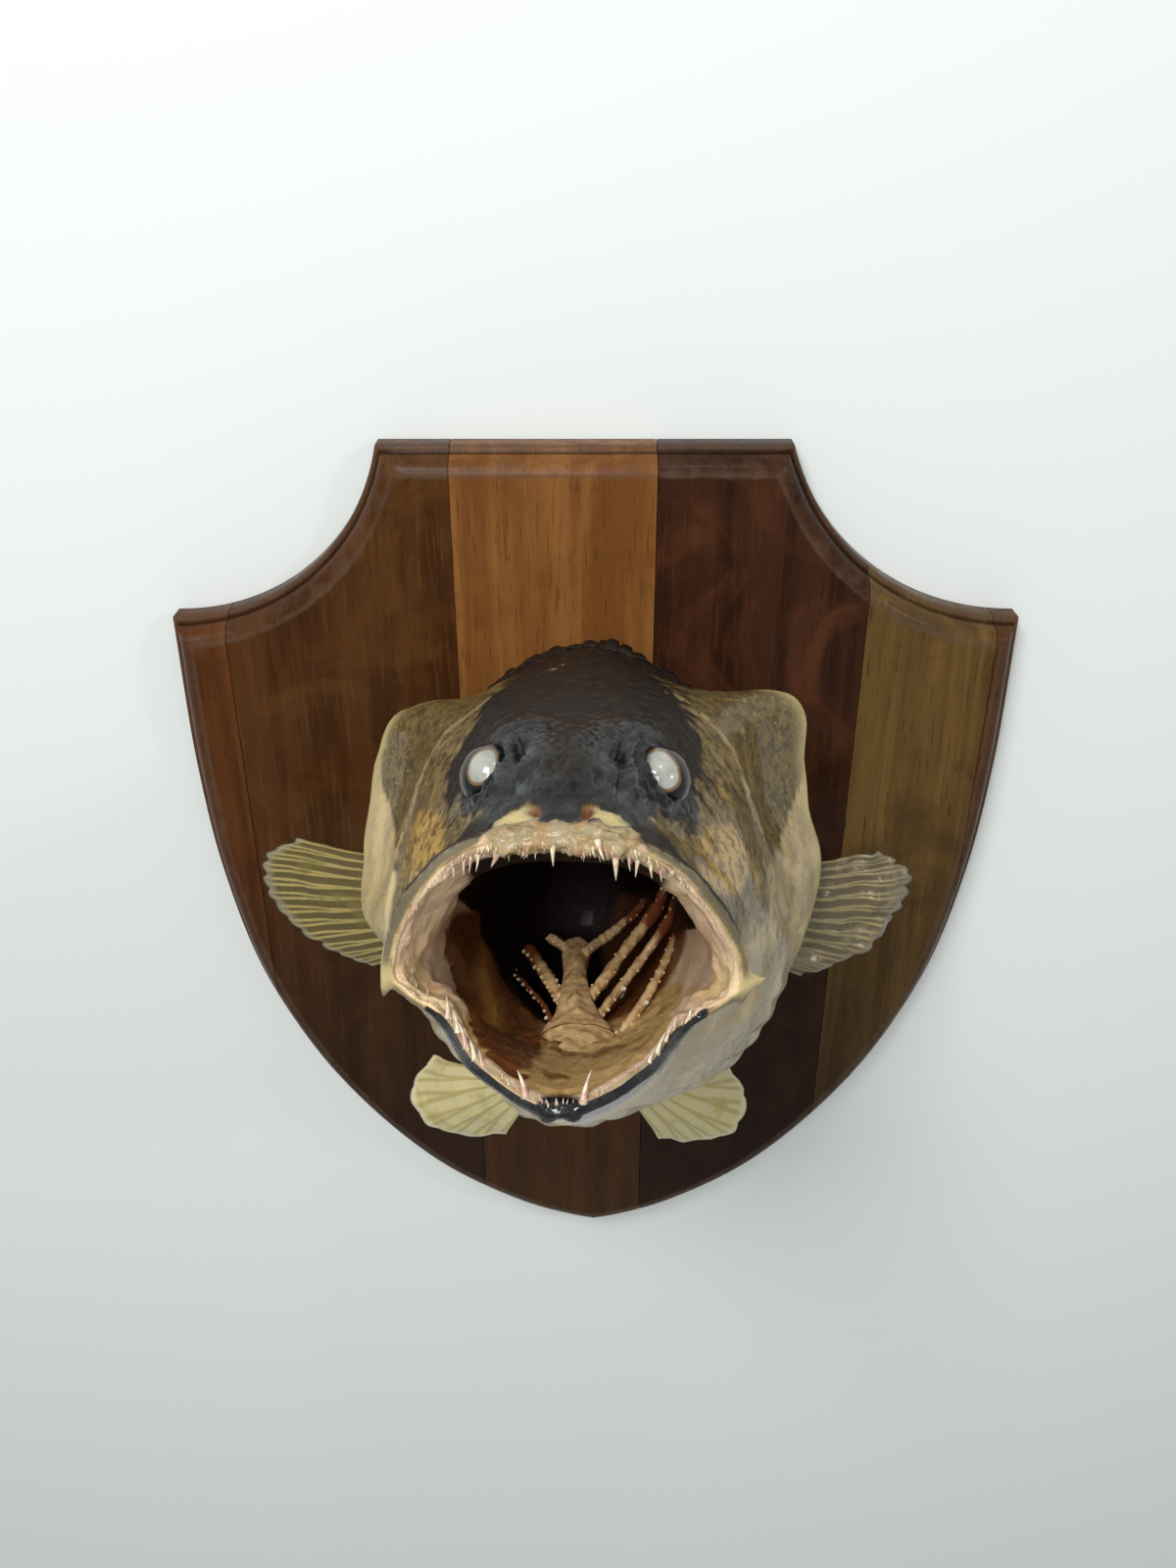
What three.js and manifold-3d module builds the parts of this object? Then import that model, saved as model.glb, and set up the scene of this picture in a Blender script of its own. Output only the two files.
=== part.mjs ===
// Mounted head of a zander (pike-perch) on a shield-shaped board of glued staves.
// Millimetres, +Z up. The back of the board lies in the plane Y = 0, the fish looks towards -Y,
// and the origin is at the middle of the board's back.

import * as THREE from 'three';
import { LoftGeometry } from 'three/addons/geometries/LoftGeometry.js';
import { mergeVertices } from 'three/addons/utils/BufferGeometryUtils.js';
import Module from 'manifold-3d';

// ---------------------------------------------------------------- driving dimensions

const GAP = 0.3;                    // clearance kept between neighbouring pieces

const BOARD_HALF_HEIGHT = 194;      // half of the shield's height
const BOARD_THICKNESS = 20;
const BOARD_SIDE_HALF = 163;        // half of the widest place
const COVE_RADIUS = { left: 95, right: 84 };    // hollow shoulders, cut by hand and not alike
const EAR_HEIGHT = 128;             // height of the ears beside the coves
const EAR_FLAT = 1;                 // level part of an ear, beside its cove
const EDGE_STEP = 2.5;              // step between the plain edge and the moulding
const EDGE_ROUND = 7.5;             // width of the moulded edge
const EDGE_PLAIN = 11;              // plain part of the edge, from the back
const EDGE_STRAIGHT = 4;            // straight part of the moulding, partly sunk in the plain part
const STAVE_JOINTS = [-141, -53, 22, 102.5, 153];
const HANGER_SIZE = [52, 12];       // sunk steel strip that the board hangs by
const HANGER_HEIGHT = 150;
const HANGER_DEPTH = 3;
const HANGER_SHEET = 0.8;
const HANGER_NOTCH = 2.5;
const HANGER_TEETH = 8;             // along the middle of the strip's lower edge
const HANGER_TEETH_SHARE = 0.6;     // share of the strip's length that has teeth
const NAIL_RADIUS = 2;
const NAIL_HEIGHT = 0.8;
const BOARD_CURVE_STEPS = 4;        // facets of each curved stretch of the outline

// Where the fish's axis meets the board's front.
const FISH_AXIS = new THREE.Vector3(-0.6, -BOARD_THICKNESS, 40);
const FISH_TILT = 30;               // degrees, snout raised
const FISH_YAW = -2.2;              // degrees, snout turned a little to -X

const EYE_RADIUS = 9;
const EYE_PLACE = [22, 186, 15.5];
const GILL_COVER_THICKNESS = 3;
const COVER_WAIST = 5.5;            // how much the upper lobe of a gill cover is drawn in
const RIGHT_COVER_SPREAD = 1.5;     // how much further out the fish's right gill cover (-X) stands
const RIGHT_COVER_DROP = 4;         // how much lower its upper corner hangs
const RIGHT_SHOULDER_DROP = 5;      // how much lower its whole upper edge hangs
const RIGHT_COVER_TRIM = [3.2, 4.5];    // how much narrower it is above its middle, and at its corner
const FIN_THICKNESS = 1.2;
const RAY_TAPER = 0.45;             // how much thinner a ray is at its tip
const FIN_SCALLOP = 0.025;          // how far the skin stays short of the rays' tips

const HEAD_BACK = 116;              // station where the skull ends and the trunk and gill covers start
const GAPE_HEIGHT = -32;            // height of the middle of the open mouth

const AROUND_STEPS = 3;             // facets between two key points round the skin
const TONGUE_PLACE = [0, 172, -62];
const TONGUE_SIZE = [15, 20, 5];    // half sizes
const ARCH_RADIUS = 3;              // gill arches
const ARCH_COUNT = 3;               // on each side
const ARCH_FIRST = 158;             // station of the foot of the foremost arch
const ARCH_PITCH = 13;

const TUBE_SIDES = 5;               // facets round a gill arch
const TOOTH_SIDES = 4;
const TOOTH_ROOT = 3;               // how deep a tooth is sunk into its jaw
const TOOTH_STOUTNESS = 0.17;       // radius of a tooth's foot, as a share of its length
const TOOTH_LEAN = 0.006;           // lean towards the middle for each millimetre off it
const TOOTH_RAKE = 0.12;            // lean back into the mouth
const LINING_CLEARANCE = 0.6;       // between the mouth's lining and what lies in the mouth

// ---------------------------------------------------------------- helpers

const wasm = await Module();
wasm.setup();

// A place on the fish: x to the side, s forward from the board along the body, h towards the back.
const at = (x, s, h) => new THREE.Vector3(x, -s, h);

function solidOf(geometry) {
  const bare = new THREE.BufferGeometry();
  bare.setAttribute('position', geometry.attributes.position);
  bare.setIndex(geometry.index);
  const merged = mergeVertices(bare, 1e-4);
  return new wasm.Manifold(new wasm.Mesh({
    numProp: 3,
    vertProperties: new Float32Array(merged.attributes.position.array),
    triVerts: new Uint32Array(merged.index.array),
  }));
}

function geometryOf(solid) {
  const mesh = solid.getMesh();
  const geometry = new THREE.BufferGeometry();
  const positions = [];
  for (let v = 0; v < mesh.numVert; v++) {
    for (let axis = 0; axis < 3; axis++) {
      positions.push(mesh.vertProperties[v * mesh.numProp + axis]);
    }
  }
  geometry.setAttribute('position', new THREE.Float32BufferAttribute(positions, 3));
  geometry.setIndex(Array.from(mesh.triVerts));
  const faceted = geometry.toNonIndexed();
  faceted.computeVertexNormals();
  return faceted;
}

const joined = (solids) => solids.reduce((whole, piece) => whole.add(piece));

// The largest connected body of a solid; crumbs left by a cut are dropped.
function mainBody(solid) {
  const bodies = solid.decompose();
  return bodies.reduce((best, body) => (body.volume() > best.volume() ? body : best));
}

function boxSolid(low, high) {
  const geometry = new THREE.BoxGeometry(high[0] - low[0], high[1] - low[1], high[2] - low[2]);
  geometry.translate((low[0] + high[0]) / 2, (low[1] + high[1]) / 2, (low[2] + high[2]) / 2);
  return solidOf(geometry);
}

// A prism of an outline drawn in the side view (s, h), from x = xLow to x = xHigh.
function sidePrism(outline, xLow, xHigh) {
  const shape = new THREE.Shape(outline.map(([s, h]) => new THREE.Vector2(-s, h)));
  const geometry = new THREE.ExtrudeGeometry(shape, { depth: xHigh - xLow, bevelEnabled: false });
  // (u, v, w) of the extrusion becomes (w, u, v): a turn that keeps faces pointing out
  geometry.applyMatrix4(new THREE.Matrix4().set(0, 0, 1, xLow, 1, 0, 0, 0, 0, 1, 0, 0, 0, 0, 0, 1));
  return solidOf(geometry);
}

// A prism of an outline drawn in the front view (x, h), from station sLow to sHigh.
function frontPrism(outline, sLow, sHigh) {
  const shape = new THREE.Shape(outline.map(([x, h]) => new THREE.Vector2(x, h)));
  const geometry = new THREE.ExtrudeGeometry(shape, { depth: sHigh - sLow, bevelEnabled: false });
  geometry.rotateX(Math.PI / 2);
  geometry.translate(0, -sLow, 0);
  return solidOf(geometry);
}

// A rounded bar along a smooth path, thick in the middle and tapered to its ends.
function taperedBar(points, radius, taper, steps) {
  const curve = new THREE.CatmullRomCurve3(points, false, 'centripetal');
  const frames = curve.computeFrenetFrames(steps, false);
  const sections = [];
  for (let i = 0; i <= steps; i++) {
    const centre = curve.getPointAt(i / steps);
    const r = radius * (taper + (1 - taper) * Math.sin(Math.PI * i / steps));
    const section = [];
    for (let k = 0; k < TUBE_SIDES; k++) {
      const a = 2 * Math.PI * k / TUBE_SIDES;
      const offset = frames.normals[i].clone().multiplyScalar(Math.cos(a) * r);
      offset.addScaledVector(frames.binormals[i], Math.sin(a) * r);
      section.push(centre.clone().add(offset));
    }
    sections.push(section);
  }
  return solidOf(new LoftGeometry(sections, { closed: true, capStart: true, capEnd: true }));
}

// ---------------------------------------------------------------- the skin's rings

// Each ring has seven key points down one side, mirrored to the other:
// top, shoulder, brow, side, jowl, jaw side and keel.

const KEY_ANGLES = [90, 62, 28, -8, -42, -68, -90].map((degrees) => degrees * Math.PI / 180);

function oval(s, halfWidth, top, bottom, lean = 0) {
  const middle = (top + bottom) / 2;
  const halfHeight = (top - bottom) / 2;
  return KEY_ANGLES.map((a) => [
    halfWidth * Math.cos(a), s + lean * Math.sin(a), middle + halfHeight * Math.sin(a),
  ]);
}

const LIP_CREST = [
  [0, 244, 3.5], [18, 240, 1.2], [34, 226, -8.5], [47, 201, -37],
  [31.5, 206, -46], [20, 226, -54], [0, 240, -60.5],
];

// A copy of the lip's crest moved away from the middle of the mouth and back into the head.
function lipRing(outwards, back) {
  return LIP_CREST.map(([x, s, h]) => {
    const reach = Math.hypot(x, h - GAPE_HEIGHT);
    const grow = 1 + outwards / reach;
    return [x * grow, s - back, GAPE_HEIGHT + (h - GAPE_HEIGHT) * grow];
  });
}

const SNOUT = [
  [0, 214, 20], [13, 212, 17.5], [25, 207, 4], [42.5, 191, -30],
  [31, 190, -49], [20.5, 205, -60.5], [0, 214, -69],
];
const EYE_LINE = [
  [0, 187, 29], [17, 187, 28.5], [29, 184, 12], [45, 176, -22],
  [38.5, 170, -53], [24, 178, -69], [0, 184, -78],
];
const CHEEK = [
  [0, 150, 43], [24, 150, 39], [41, 149, 21], [53, 148, -14],
  [50, 147, -51], [32, 145, -75], [0, 145, -85],
];
const OPERCLE = [
  [0, 112, 56], [30, 112, 48], [53, 110, 39], [66, 106, -8],
  [66, 104, -50], [45, 105, -79], [0, 116, -88],
];
const GILL_EDGE = [
  [0, 92, 62], [35, 96, 47], [72, 84, 46], [82, 73, -14],
  [66, 82, -55], [43, 92, -83], [0, 108, -90],
];
const CHAMBER = [
  [0, 90, 62.3], [35, 94, 46.6], [43, 108, 28], [47, 108, -12],
  [45, 106, -45], [33, 104, -71], [0, 104, -89.5],
];
const CLEITHRUM = [
  [0, 86, 63], [35, 87, 47.5], [46, 86, 28], [51, 84, -12],
  [49, 84, -47], [33, 92, -76], [0, 100, -90],
];

// The free edge of the gill cover, taken inwards by a share of its distance to the gill chamber.
function coverLining(inwards, forwards) {
  return GILL_EDGE.map(([x, s, h], i) => {
    const free = Math.min(1, Math.hypot(x - CHAMBER[i][0], h - CHAMBER[i][2]) / 12);
    const reach = Math.max(1, Math.hypot(x, h));
    const shrink = 1 - inwards * free / reach;
    return [x * shrink, s + forwards * free, h * shrink];
  });
}

// Rings of the open mouth from in front of the lips back to the bottom of the throat,
// each with the number of facets to the next ring.
const MOUTH_RINGS = [
  [lipRing(1, -12), 1],
  [lipRing(-0.5, 0), 1],
  [lipRing(-4.5, 5), 2],
  [lipRing(-9, 18), 2],
  [oval(165, 37, 1, -66, 3), 2],
  [oval(128, 31, 2, -63), 2],
  [oval(96, 22, -3, -54), 1],
  [oval(84, 13, -12, -42), 1],
];

// Rings of the outside from the lips back over the head and the gill covers to the trunk.
const OUTER_RINGS = [
  [lipRing(0, 0), 1],
  [lipRing(3, 3), 1],
  [lipRing(3.2, 9), 3],
  [SNOUT, 3],
  [EYE_LINE, 3],
  [CHEEK, 3],
  [OPERCLE, 3],
  [GILL_EDGE, 1],
  [coverLining(GILL_COVER_THICKNESS, 1), 2],
  [coverLining(GILL_COVER_THICKNESS + 9, 17), 1],
  [CHAMBER, 2],
  [CLEITHRUM, 2],
  [oval(50, 53, 65, -95), 1],
  [oval(0, 54, 71, -98), 1],
  [oval(-75, 54, 74, -100), 1],
];

// Blends from 0 to 1 while a value goes from low to high.
const ramp = (value, low, high) => THREE.MathUtils.smoothstep(value, low, high);

// The gill covers are narrower above their widest part, and the fish's right one (-X) stands
// further out and hangs lower.
function flare(point) {
  const out = ramp(Math.abs(point.x), 48, 68);
  const waist = COVER_WAIST * out * ramp(point.z, -10, 12) * ramp(-point.z, -46, -24);
  if (point.x > 0) {
    return point.clone().sub(new THREE.Vector3(waist, 0, 0));
  }
  const spread = RIGHT_COVER_SPREAD * out * ramp(point.z, -60, -20);
  const shoulder = RIGHT_SHOULDER_DROP * ramp(-point.x, 24, 42) * ramp(point.z, 22, 42);
  const drop = RIGHT_COVER_DROP * out * ramp(point.z, 5, 42) + shoulder;
  const [trim, corner] = RIGHT_COVER_TRIM;
  const narrow = out * (trim * ramp(point.z, -34, -10) + corner * ramp(point.z, 22, 40));
  return point.clone().add(new THREE.Vector3(waist / 2 - spread + narrow, 0, -drop));
}

function wholeRing(half) {
  const points = half.map(([x, s, h]) => at(x, s, h));
  for (let i = half.length - 2; i > 0; i--) {
    points.push(at(-half[i][0], half[i][1], half[i][2]));
  }
  return points;
}

// Smooth closed sections through a list of rings, ready for a loft.
function skinSections(rings) {
  const keyCount = 2 * (KEY_ANGLES.length - 1);
  const columns = keyCount * AROUND_STEPS;
  const rows = rings.map(([half]) => {
    const curve = new THREE.CatmullRomCurve3(wholeRing(half), true, 'centripetal');
    return Array.from({ length: columns }, (_, k) => flare(curve.getPoint(k / columns)));
  });
  const lengthways = Array.from({ length: columns }, (_, k) => new THREE.CatmullRomCurve3(
    rows.map((row) => row[k]), false, 'centripetal'));
  const sections = [];
  rings.forEach(([, facets], ring) => {
    const steps = ring < rings.length - 1 ? facets : 1;
    for (let j = 0; j < steps; j++) {
      const t = (ring + j / steps) / (rings.length - 1);
      sections.push(lengthways.map((curve) => curve.getPoint(t)));
    }
  });
  return sections;
}

const loftOf = (rings) => solidOf(
  new LoftGeometry(skinSections(rings), { closed: true, capStart: true, capEnd: true }));

// ---------------------------------------------------------------- the head, parted into its pieces

const mouth = loftOf(MOUTH_RINGS);
const skin = mainBody(loftOf(OUTER_RINGS).subtract(mouth));

const FAR = 300;                    // further out than any part of the fish
const CUT = GAP / 2 + 0.05;         // each cell keeps this distance to the cut

// Side view: where the upper jaw parts from the head, and the mouth's corner and jaw joint.
const LIP_BACK_TOP = [234, 12];
const MOUTH_CORNER = [191, -35];
const GAPE_POINT = [207, -42.5];
const JAW_JOINT = [152, -50];
const JAW_REAR = [168, -100];
const THROAT_REAR = [HEAD_BACK, -60];

const lipSlope = (LIP_BACK_TOP[1] - MOUTH_CORNER[1]) / (LIP_BACK_TOP[0] - MOUTH_CORNER[0]);
const lipLineTop = [LIP_BACK_TOP[0] + 40, LIP_BACK_TOP[1] + 40 * lipSlope];

const headBack = HEAD_BACK + CUT;
const sideCells = {
  upperJaw: [
    [MOUTH_CORNER[0] + CUT, MOUTH_CORNER[1] + CUT],
    [lipLineTop[0] + CUT, lipLineTop[1] - CUT],
    [FAR, 60],
    [FAR, GAPE_POINT[1] + CUT],
    [GAPE_POINT[0], GAPE_POINT[1] + CUT],
  ],
  lowerJaw: [
    [JAW_JOINT[0] + CUT, JAW_JOINT[1] - CUT],
    [MOUTH_CORNER[0], MOUTH_CORNER[1] - CUT],
    [GAPE_POINT[0], GAPE_POINT[1] - CUT],
    [FAR, GAPE_POINT[1] - CUT],
    [FAR, -FAR],
    [JAW_REAR[0] + CUT, -FAR],
    [JAW_REAR[0] + CUT, JAW_REAR[1]],
  ],
  throat: [
    [headBack, THROAT_REAR[1] - CUT],
    [JAW_JOINT[0] - CUT, JAW_JOINT[1] - CUT],
    [JAW_REAR[0] - CUT, JAW_REAR[1]],
    [JAW_REAR[0] - CUT, -FAR],
    [headBack, -FAR],
  ],
  upperHead: [
    [headBack, THROAT_REAR[1] + CUT],
    [JAW_JOINT[0], JAW_JOINT[1] + CUT],
    [MOUTH_CORNER[0] - CUT, MOUTH_CORNER[1] + CUT],
    [lipLineTop[0] - CUT, lipLineTop[1] + CUT],
    [lipLineTop[0] - CUT, FAR],
    [headBack, FAR],
  ],
};
const inCell = (name) => skin.intersect(sidePrism(sideCells[name], -FAR, FAR));

// Front view: the cheeks lie outside and below a sloping line that starts inside the mouth.
const CHEEK_START = [18, -13];
const CHEEK_SLOPE = 0.7;
function cheekCell(side, inset) {
  const far = CHEEK_START[1] + CHEEK_SLOPE * (FAR - CHEEK_START[0]);
  const outline = [
    [side * (CHEEK_START[0] + inset), CHEEK_START[1] - inset],
    [side * FAR, far - inset],
    [side * FAR, -FAR],
    [side * (CHEEK_START[0] + inset), -FAR],
  ];
  return frontPrism(outline, 0, FAR);
}

// The trunk's share of the rear: a sleeve that runs through the gill chambers, where the trunk
// is narrower than the flared covers, and lies clear of the trunk behind them.
function sleeve(grow) {
  const section = (s, halfWidth, shoulder, shoulderHeight, keel) => [s, [
    [shoulder, FAR], [shoulder, shoulderHeight], [halfWidth, 18], [halfWidth, -14],
    [halfWidth - 3, -48], [Math.max(halfWidth * 0.72, keel + 2), -75], [keel, -84], [keel - 1, -FAR],
  ]];
  const halves = [
    section(125, 47.5, 35.5, 42, 14),
    section(105, 49.5, 36, 40, 14),
    section(93, 54, 40, 36, 33),
    section(86, 60, 55, 34, 45),
    section(70, 66, 60, 34, 50),
    section(-120, 66, 60, 34, 50),
  ];
  const sections = halves.map(([s, half]) => [
    at(0, s, FAR),
    ...half.map(([x, h]) => at(x + grow, s, h)),
    at(0, s, -FAR),
    ...half.toReversed().map(([x, h]) => at(-x - grow, s, h)),
  ]);
  return solidOf(new LoftGeometry(sections, { closed: true, capStart: true, capEnd: true }));
}

// The trunk ends on the board's front face.
function boardBlock() {
  const geometry = new THREE.BoxGeometry(2 * FAR, FAR, 2 * FAR);
  geometry.translate(0, FAR / 2 - GAP, 0);
  const turn = new THREE.Euler(-FISH_TILT * Math.PI / 180, 0, FISH_YAW * Math.PI / 180, 'ZXY');
  geometry.applyMatrix4(new THREE.Matrix4().makeRotationFromEuler(turn).invert());
  return solidOf(geometry);
}

const rear = skin.subtract(boardBlock()).intersect(sidePrism(
  [[HEAD_BACK - CUT, -FAR], [HEAD_BACK - CUT, FAR], [-FAR, FAR], [-FAR, -FAR]], -FAR, FAR));

function gillCover(side) {
  const half = frontPrism([[0, -FAR], [side * FAR, -FAR], [side * FAR, FAR], [0, FAR]], -FAR, FAR);
  return mainBody(rear.subtract(sleeve(CUT)).intersect(half));
}

// ---------------------------------------------------------------- eyes and teeth

function eyeBall(side, radius) {
  const geometry = new THREE.SphereGeometry(radius, 11, 7);
  geometry.translate(side * EYE_PLACE[0], -EYE_PLACE[1], EYE_PLACE[2]);
  return solidOf(geometry);
}

// A place on the tooth row, counted in key points from the middle of the upper lip
// towards +X: the corner of the mouth is 3 and the middle of the chin is 6.
const toothRow = new THREE.CatmullRomCurve3(wholeRing(lipRing(-4, 6)), true, 'centripetal');
const rowPlace = (key) => toothRow.getPoint(THREE.MathUtils.euclideanModulo(key / 12, 1));

const UPPER_TEETH = [
  { from: -1.6, to: -1.05, count: 5, length: 6 },
  { from: -0.1, to: -0.1, count: 1, length: 8 },
  { from: 0.8, to: 0.8, count: 1, length: 10 },
  { from: 1.05, to: 1.5, count: 4, length: 6 },
];
const LOWER_TEETH = [
  { from: 4.35, to: 5.25, count: 5, length: 6.5 },
  { from: 5.68, to: 6.32, count: 2, length: 8.5 },
  { from: 6.75, to: 7.65, count: 5, length: 6.5 },
];

function teeth(rows, pull) {
  const solids = [];
  for (const { from, to, count, length } of rows) {
    for (let i = 0; i < count; i++) {
      const key = from + (to - from) * (count > 1 ? i / (count - 1) : 0);
      const root = rowPlace(key);
      const direction = new THREE.Vector3(-TOOTH_LEAN * root.x, TOOTH_RAKE, pull).normalize();
      const turn = new THREE.Quaternion().setFromUnitVectors(new THREE.Vector3(0, 1, 0), direction);
      const tooth = new THREE.ConeGeometry(length * TOOTH_STOUTNESS, length + TOOTH_ROOT, TOOTH_SIDES, 1);
      tooth.translate(0, (length - TOOTH_ROOT) / 2, 0);
      tooth.applyQuaternion(turn);
      tooth.translate(root.x, root.y, root.z);
      solids.push(solidOf(tooth));
    }
  }
  return joined(solids);
}

// ---------------------------------------------------------------- tongue and gill arches

function gillArch(side, foot) {
  const path = [
    at(side * 4, foot, -58), at(side * 15, foot - 16, -45),
    at(side * 24, foot - 36, -27), at(side * 25, foot - 48, -8),
  ];
  return taperedBar(path, ARCH_RADIUS, 0.75, 4);
}

function tongueAndArches() {
  const ridge = [at(0, 176, -63), at(0, 150, -60), at(0, 124, -56), at(0, 104, -50)];
  const tongue = new THREE.SphereGeometry(1, 10, 7);
  tongue.scale(TONGUE_SIZE[0], TONGUE_SIZE[1], TONGUE_SIZE[2]);
  tongue.translate(0, -TONGUE_PLACE[1], TONGUE_PLACE[2]);
  const pieces = [taperedBar(ridge, 6, 0.55, 5), solidOf(tongue)];
  for (const side of [-1, 1]) {
    for (let i = 0; i < ARCH_COUNT; i++) {
      pieces.push(gillArch(side, ARCH_FIRST - ARCH_PITCH * i));
    }
  }
  const shrunk = MOUTH_RINGS.map(([ring, steps]) => [
    ring.map(([x, s, h]) => {
      const reach = Math.max(1, Math.hypot(x, h - GAPE_HEIGHT));
      const keep = 1 - LINING_CLEARANCE / reach;
      return [x * keep, s + LINING_CLEARANCE, GAPE_HEIGHT + (h - GAPE_HEIGHT) * keep];
    }), steps]);
  return mainBody(joined(pieces).intersect(loftOf(shrunk)));
}

// ---------------------------------------------------------------- fins

// A fan of rays from a short root to a curved edge: thick rays with thin skin between them.
function fin({ root, edge, rays, bow }, side, stretch) {
  const reachOut = ([x, s, h]) => at(root[0][0] + (x - root[0][0]) * stretch, s, h);
  const rootLine = new THREE.LineCurve3(at(...root[0]), at(...root[1]));
  const edgeLine = new THREE.CatmullRomCurve3(edge.map(reachOut), false, 'centripetal');
  const across = new THREE.Vector3().subVectors(edgeLine.getPoint(1), edgeLine.getPoint(0));
  const along = new THREE.Vector3().subVectors(edgeLine.getPoint(0.5), rootLine.getPoint(0.5));
  const normal = new THREE.Vector3().crossVectors(along, across).normalize();
  const sections = [];
  const last = 2 * (rays - 1);
  for (let i = 0; i <= last; i++) {
    const isRay = i % 2 === 0;
    const start = rootLine.getPoint(i / last);
    const end = edgeLine.getPoint(i / last);
    const front = [];
    const back = [];
    for (const t of [0, 0.5, 1]) {
      const place = new THREE.Vector3().lerpVectors(start, end, isRay ? t : t * (1 - FIN_SCALLOP));
      place.addScaledVector(normal, bow * Math.sin(Math.PI * t));
      const half = FIN_THICKNESS * (isRay ? 1 - RAY_TAPER * t : 0.5 - 0.1 * t);
      front.push(place.clone().addScaledVector(normal, half));
      back.unshift(place.clone().addScaledVector(normal, -half));
    }
    sections.push([...front, ...back].map((p) => new THREE.Vector3(side * p.x, p.y, p.z)));
  }
  const ordered = side > 0 ? sections : sections.toReversed();
  return solidOf(new LoftGeometry(ordered, { closed: true, capStart: true, capEnd: true }));
}

const PECTORAL_FIN = {
  root: [[49, 68, -16], [48, 60, -42]],
  edge: [[112, 44, -6], [126, 38, -14], [125, 36, -27], [114, 36, -40], [97, 38, -50], [82, 42, -54]],
  rays: 10,
  bow: -2,
};
const PELVIC_FIN = {
  root: [[13, 84, -88], [24, 78, -88]],
  edge: [[34, 36, -118], [50, 28, -120], [61, 26, -116], [66, 27, -104], [56, 32, -92]],
  rays: 6,
  bow: 2,
};
const LEFT_STRETCH = { pectoral: 0.94, pelvic: 0.93 };    // the fish's left fins are a little shorter
const RIGHT_STRETCH = { pectoral: 1, pelvic: 1.06 };

// The trunk made a little wider and higher, which keeps a gap between it and the fins' roots.
const TRUNK_CLEARANCE = [1.01, 1.006];
const trunkClearance = loftOf([CLEITHRUM, oval(50, 53, 65, -95), oval(0, 54, 71, -98)].map(
  (ring) => [ring.map(([x, s, h]) => [x * TRUNK_CLEARANCE[0], s, h * TRUNK_CLEARANCE[1]]), 2]));

// ---------------------------------------------------------------- board

// A hollow shoulder of the shield: its circle's middle, the angle where it meets the top edge,
// and how far from the board's middle that is.
function cove(radius) {
  const height = EAR_HEIGHT + radius;
  const middle = BOARD_SIDE_HALF - EAR_FLAT;
  const rise = BOARD_HALF_HEIGHT - height;
  const reach = Math.sqrt(radius ** 2 - rise ** 2);
  return { radius, height, middle, start: Math.atan2(rise, -reach), top: middle - reach };
}

function shieldShape() {
  const right = cove(COVE_RADIUS.right);
  const left = cove(COVE_RADIUS.left);
  const ear = [BOARD_SIDE_HALF, EAR_HEIGHT];
  const flank = [[BOARD_SIDE_HALF, 64], [159, 12], [147, -45], [121, -101], [79, -153], [38, -181], [14, -190.5]];
  const spline = (places) => places.map(([x, z]) => new THREE.Vector2(x, z));
  const shape = new THREE.Shape();
  shape.moveTo(-right.top, BOARD_HALF_HEIGHT);
  shape.absarc(-right.middle, right.height, right.radius, -Math.PI - right.start, -Math.PI / 2, true);
  shape.lineTo(-ear[0], ear[1]);
  shape.splineThru(spline(flank.map(([x, z]) => [-x, z])));
  shape.lineTo(0, -BOARD_HALF_HEIGHT);
  shape.lineTo(...flank.at(-1));
  shape.splineThru(spline([...flank.slice(0, -1).reverse(), ear]));
  shape.absarc(left.middle, left.height, left.radius, -Math.PI / 2, left.start, true);
  return shape;
}

// A plain slice of the board, from its back forwards.
function boardSlice(depth) {
  const shape = new THREE.Shape(shieldShape().getPoints(BOARD_CURVE_STEPS));
  const geometry = new THREE.ExtrudeGeometry(shape, { depth, bevelEnabled: false });
  geometry.rotateX(Math.PI / 2);
  return solidOf(geometry);
}

// The front of the board: a step inside the plain edge, then a rounded moulding up to the face.
function mouldedFront() {
  const shape = new THREE.Shape(shieldShape().getPoints(BOARD_CURVE_STEPS));
  const geometry = new THREE.ExtrudeGeometry(shape, {
    depth: EDGE_STRAIGHT, bevelEnabled: true, bevelThickness: EDGE_ROUND, bevelSize: EDGE_ROUND,
    bevelOffset: -EDGE_STEP - EDGE_ROUND, bevelSegments: 2,
  });
  geometry.rotateX(Math.PI / 2);
  geometry.translate(0, -(BOARD_THICKNESS - EDGE_ROUND - EDGE_STRAIGHT), 0);
  return solidOf(geometry);
}

function staves() {
  const recess = boxSolid(
    [-HANGER_SIZE[0] / 2 - GAP, -HANGER_DEPTH, HANGER_HEIGHT - HANGER_SIZE[1] / 2 - GAP],
    [HANGER_SIZE[0] / 2 + GAP, FAR, HANGER_HEIGHT + HANGER_SIZE[1] / 2 + GAP]);
  const board = boardSlice(EDGE_PLAIN).add(mouldedFront()).subtract(recess);
  const edges = [-FAR, ...STAVE_JOINTS, FAR];
  return edges.slice(1).map((right, i) => board.intersect(
    boxSolid([edges[i] + GAP / 2, -FAR, -FAR], [right - GAP / 2, FAR, FAR])));
}

// ---------------------------------------------------------------- sunk hanger

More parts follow.
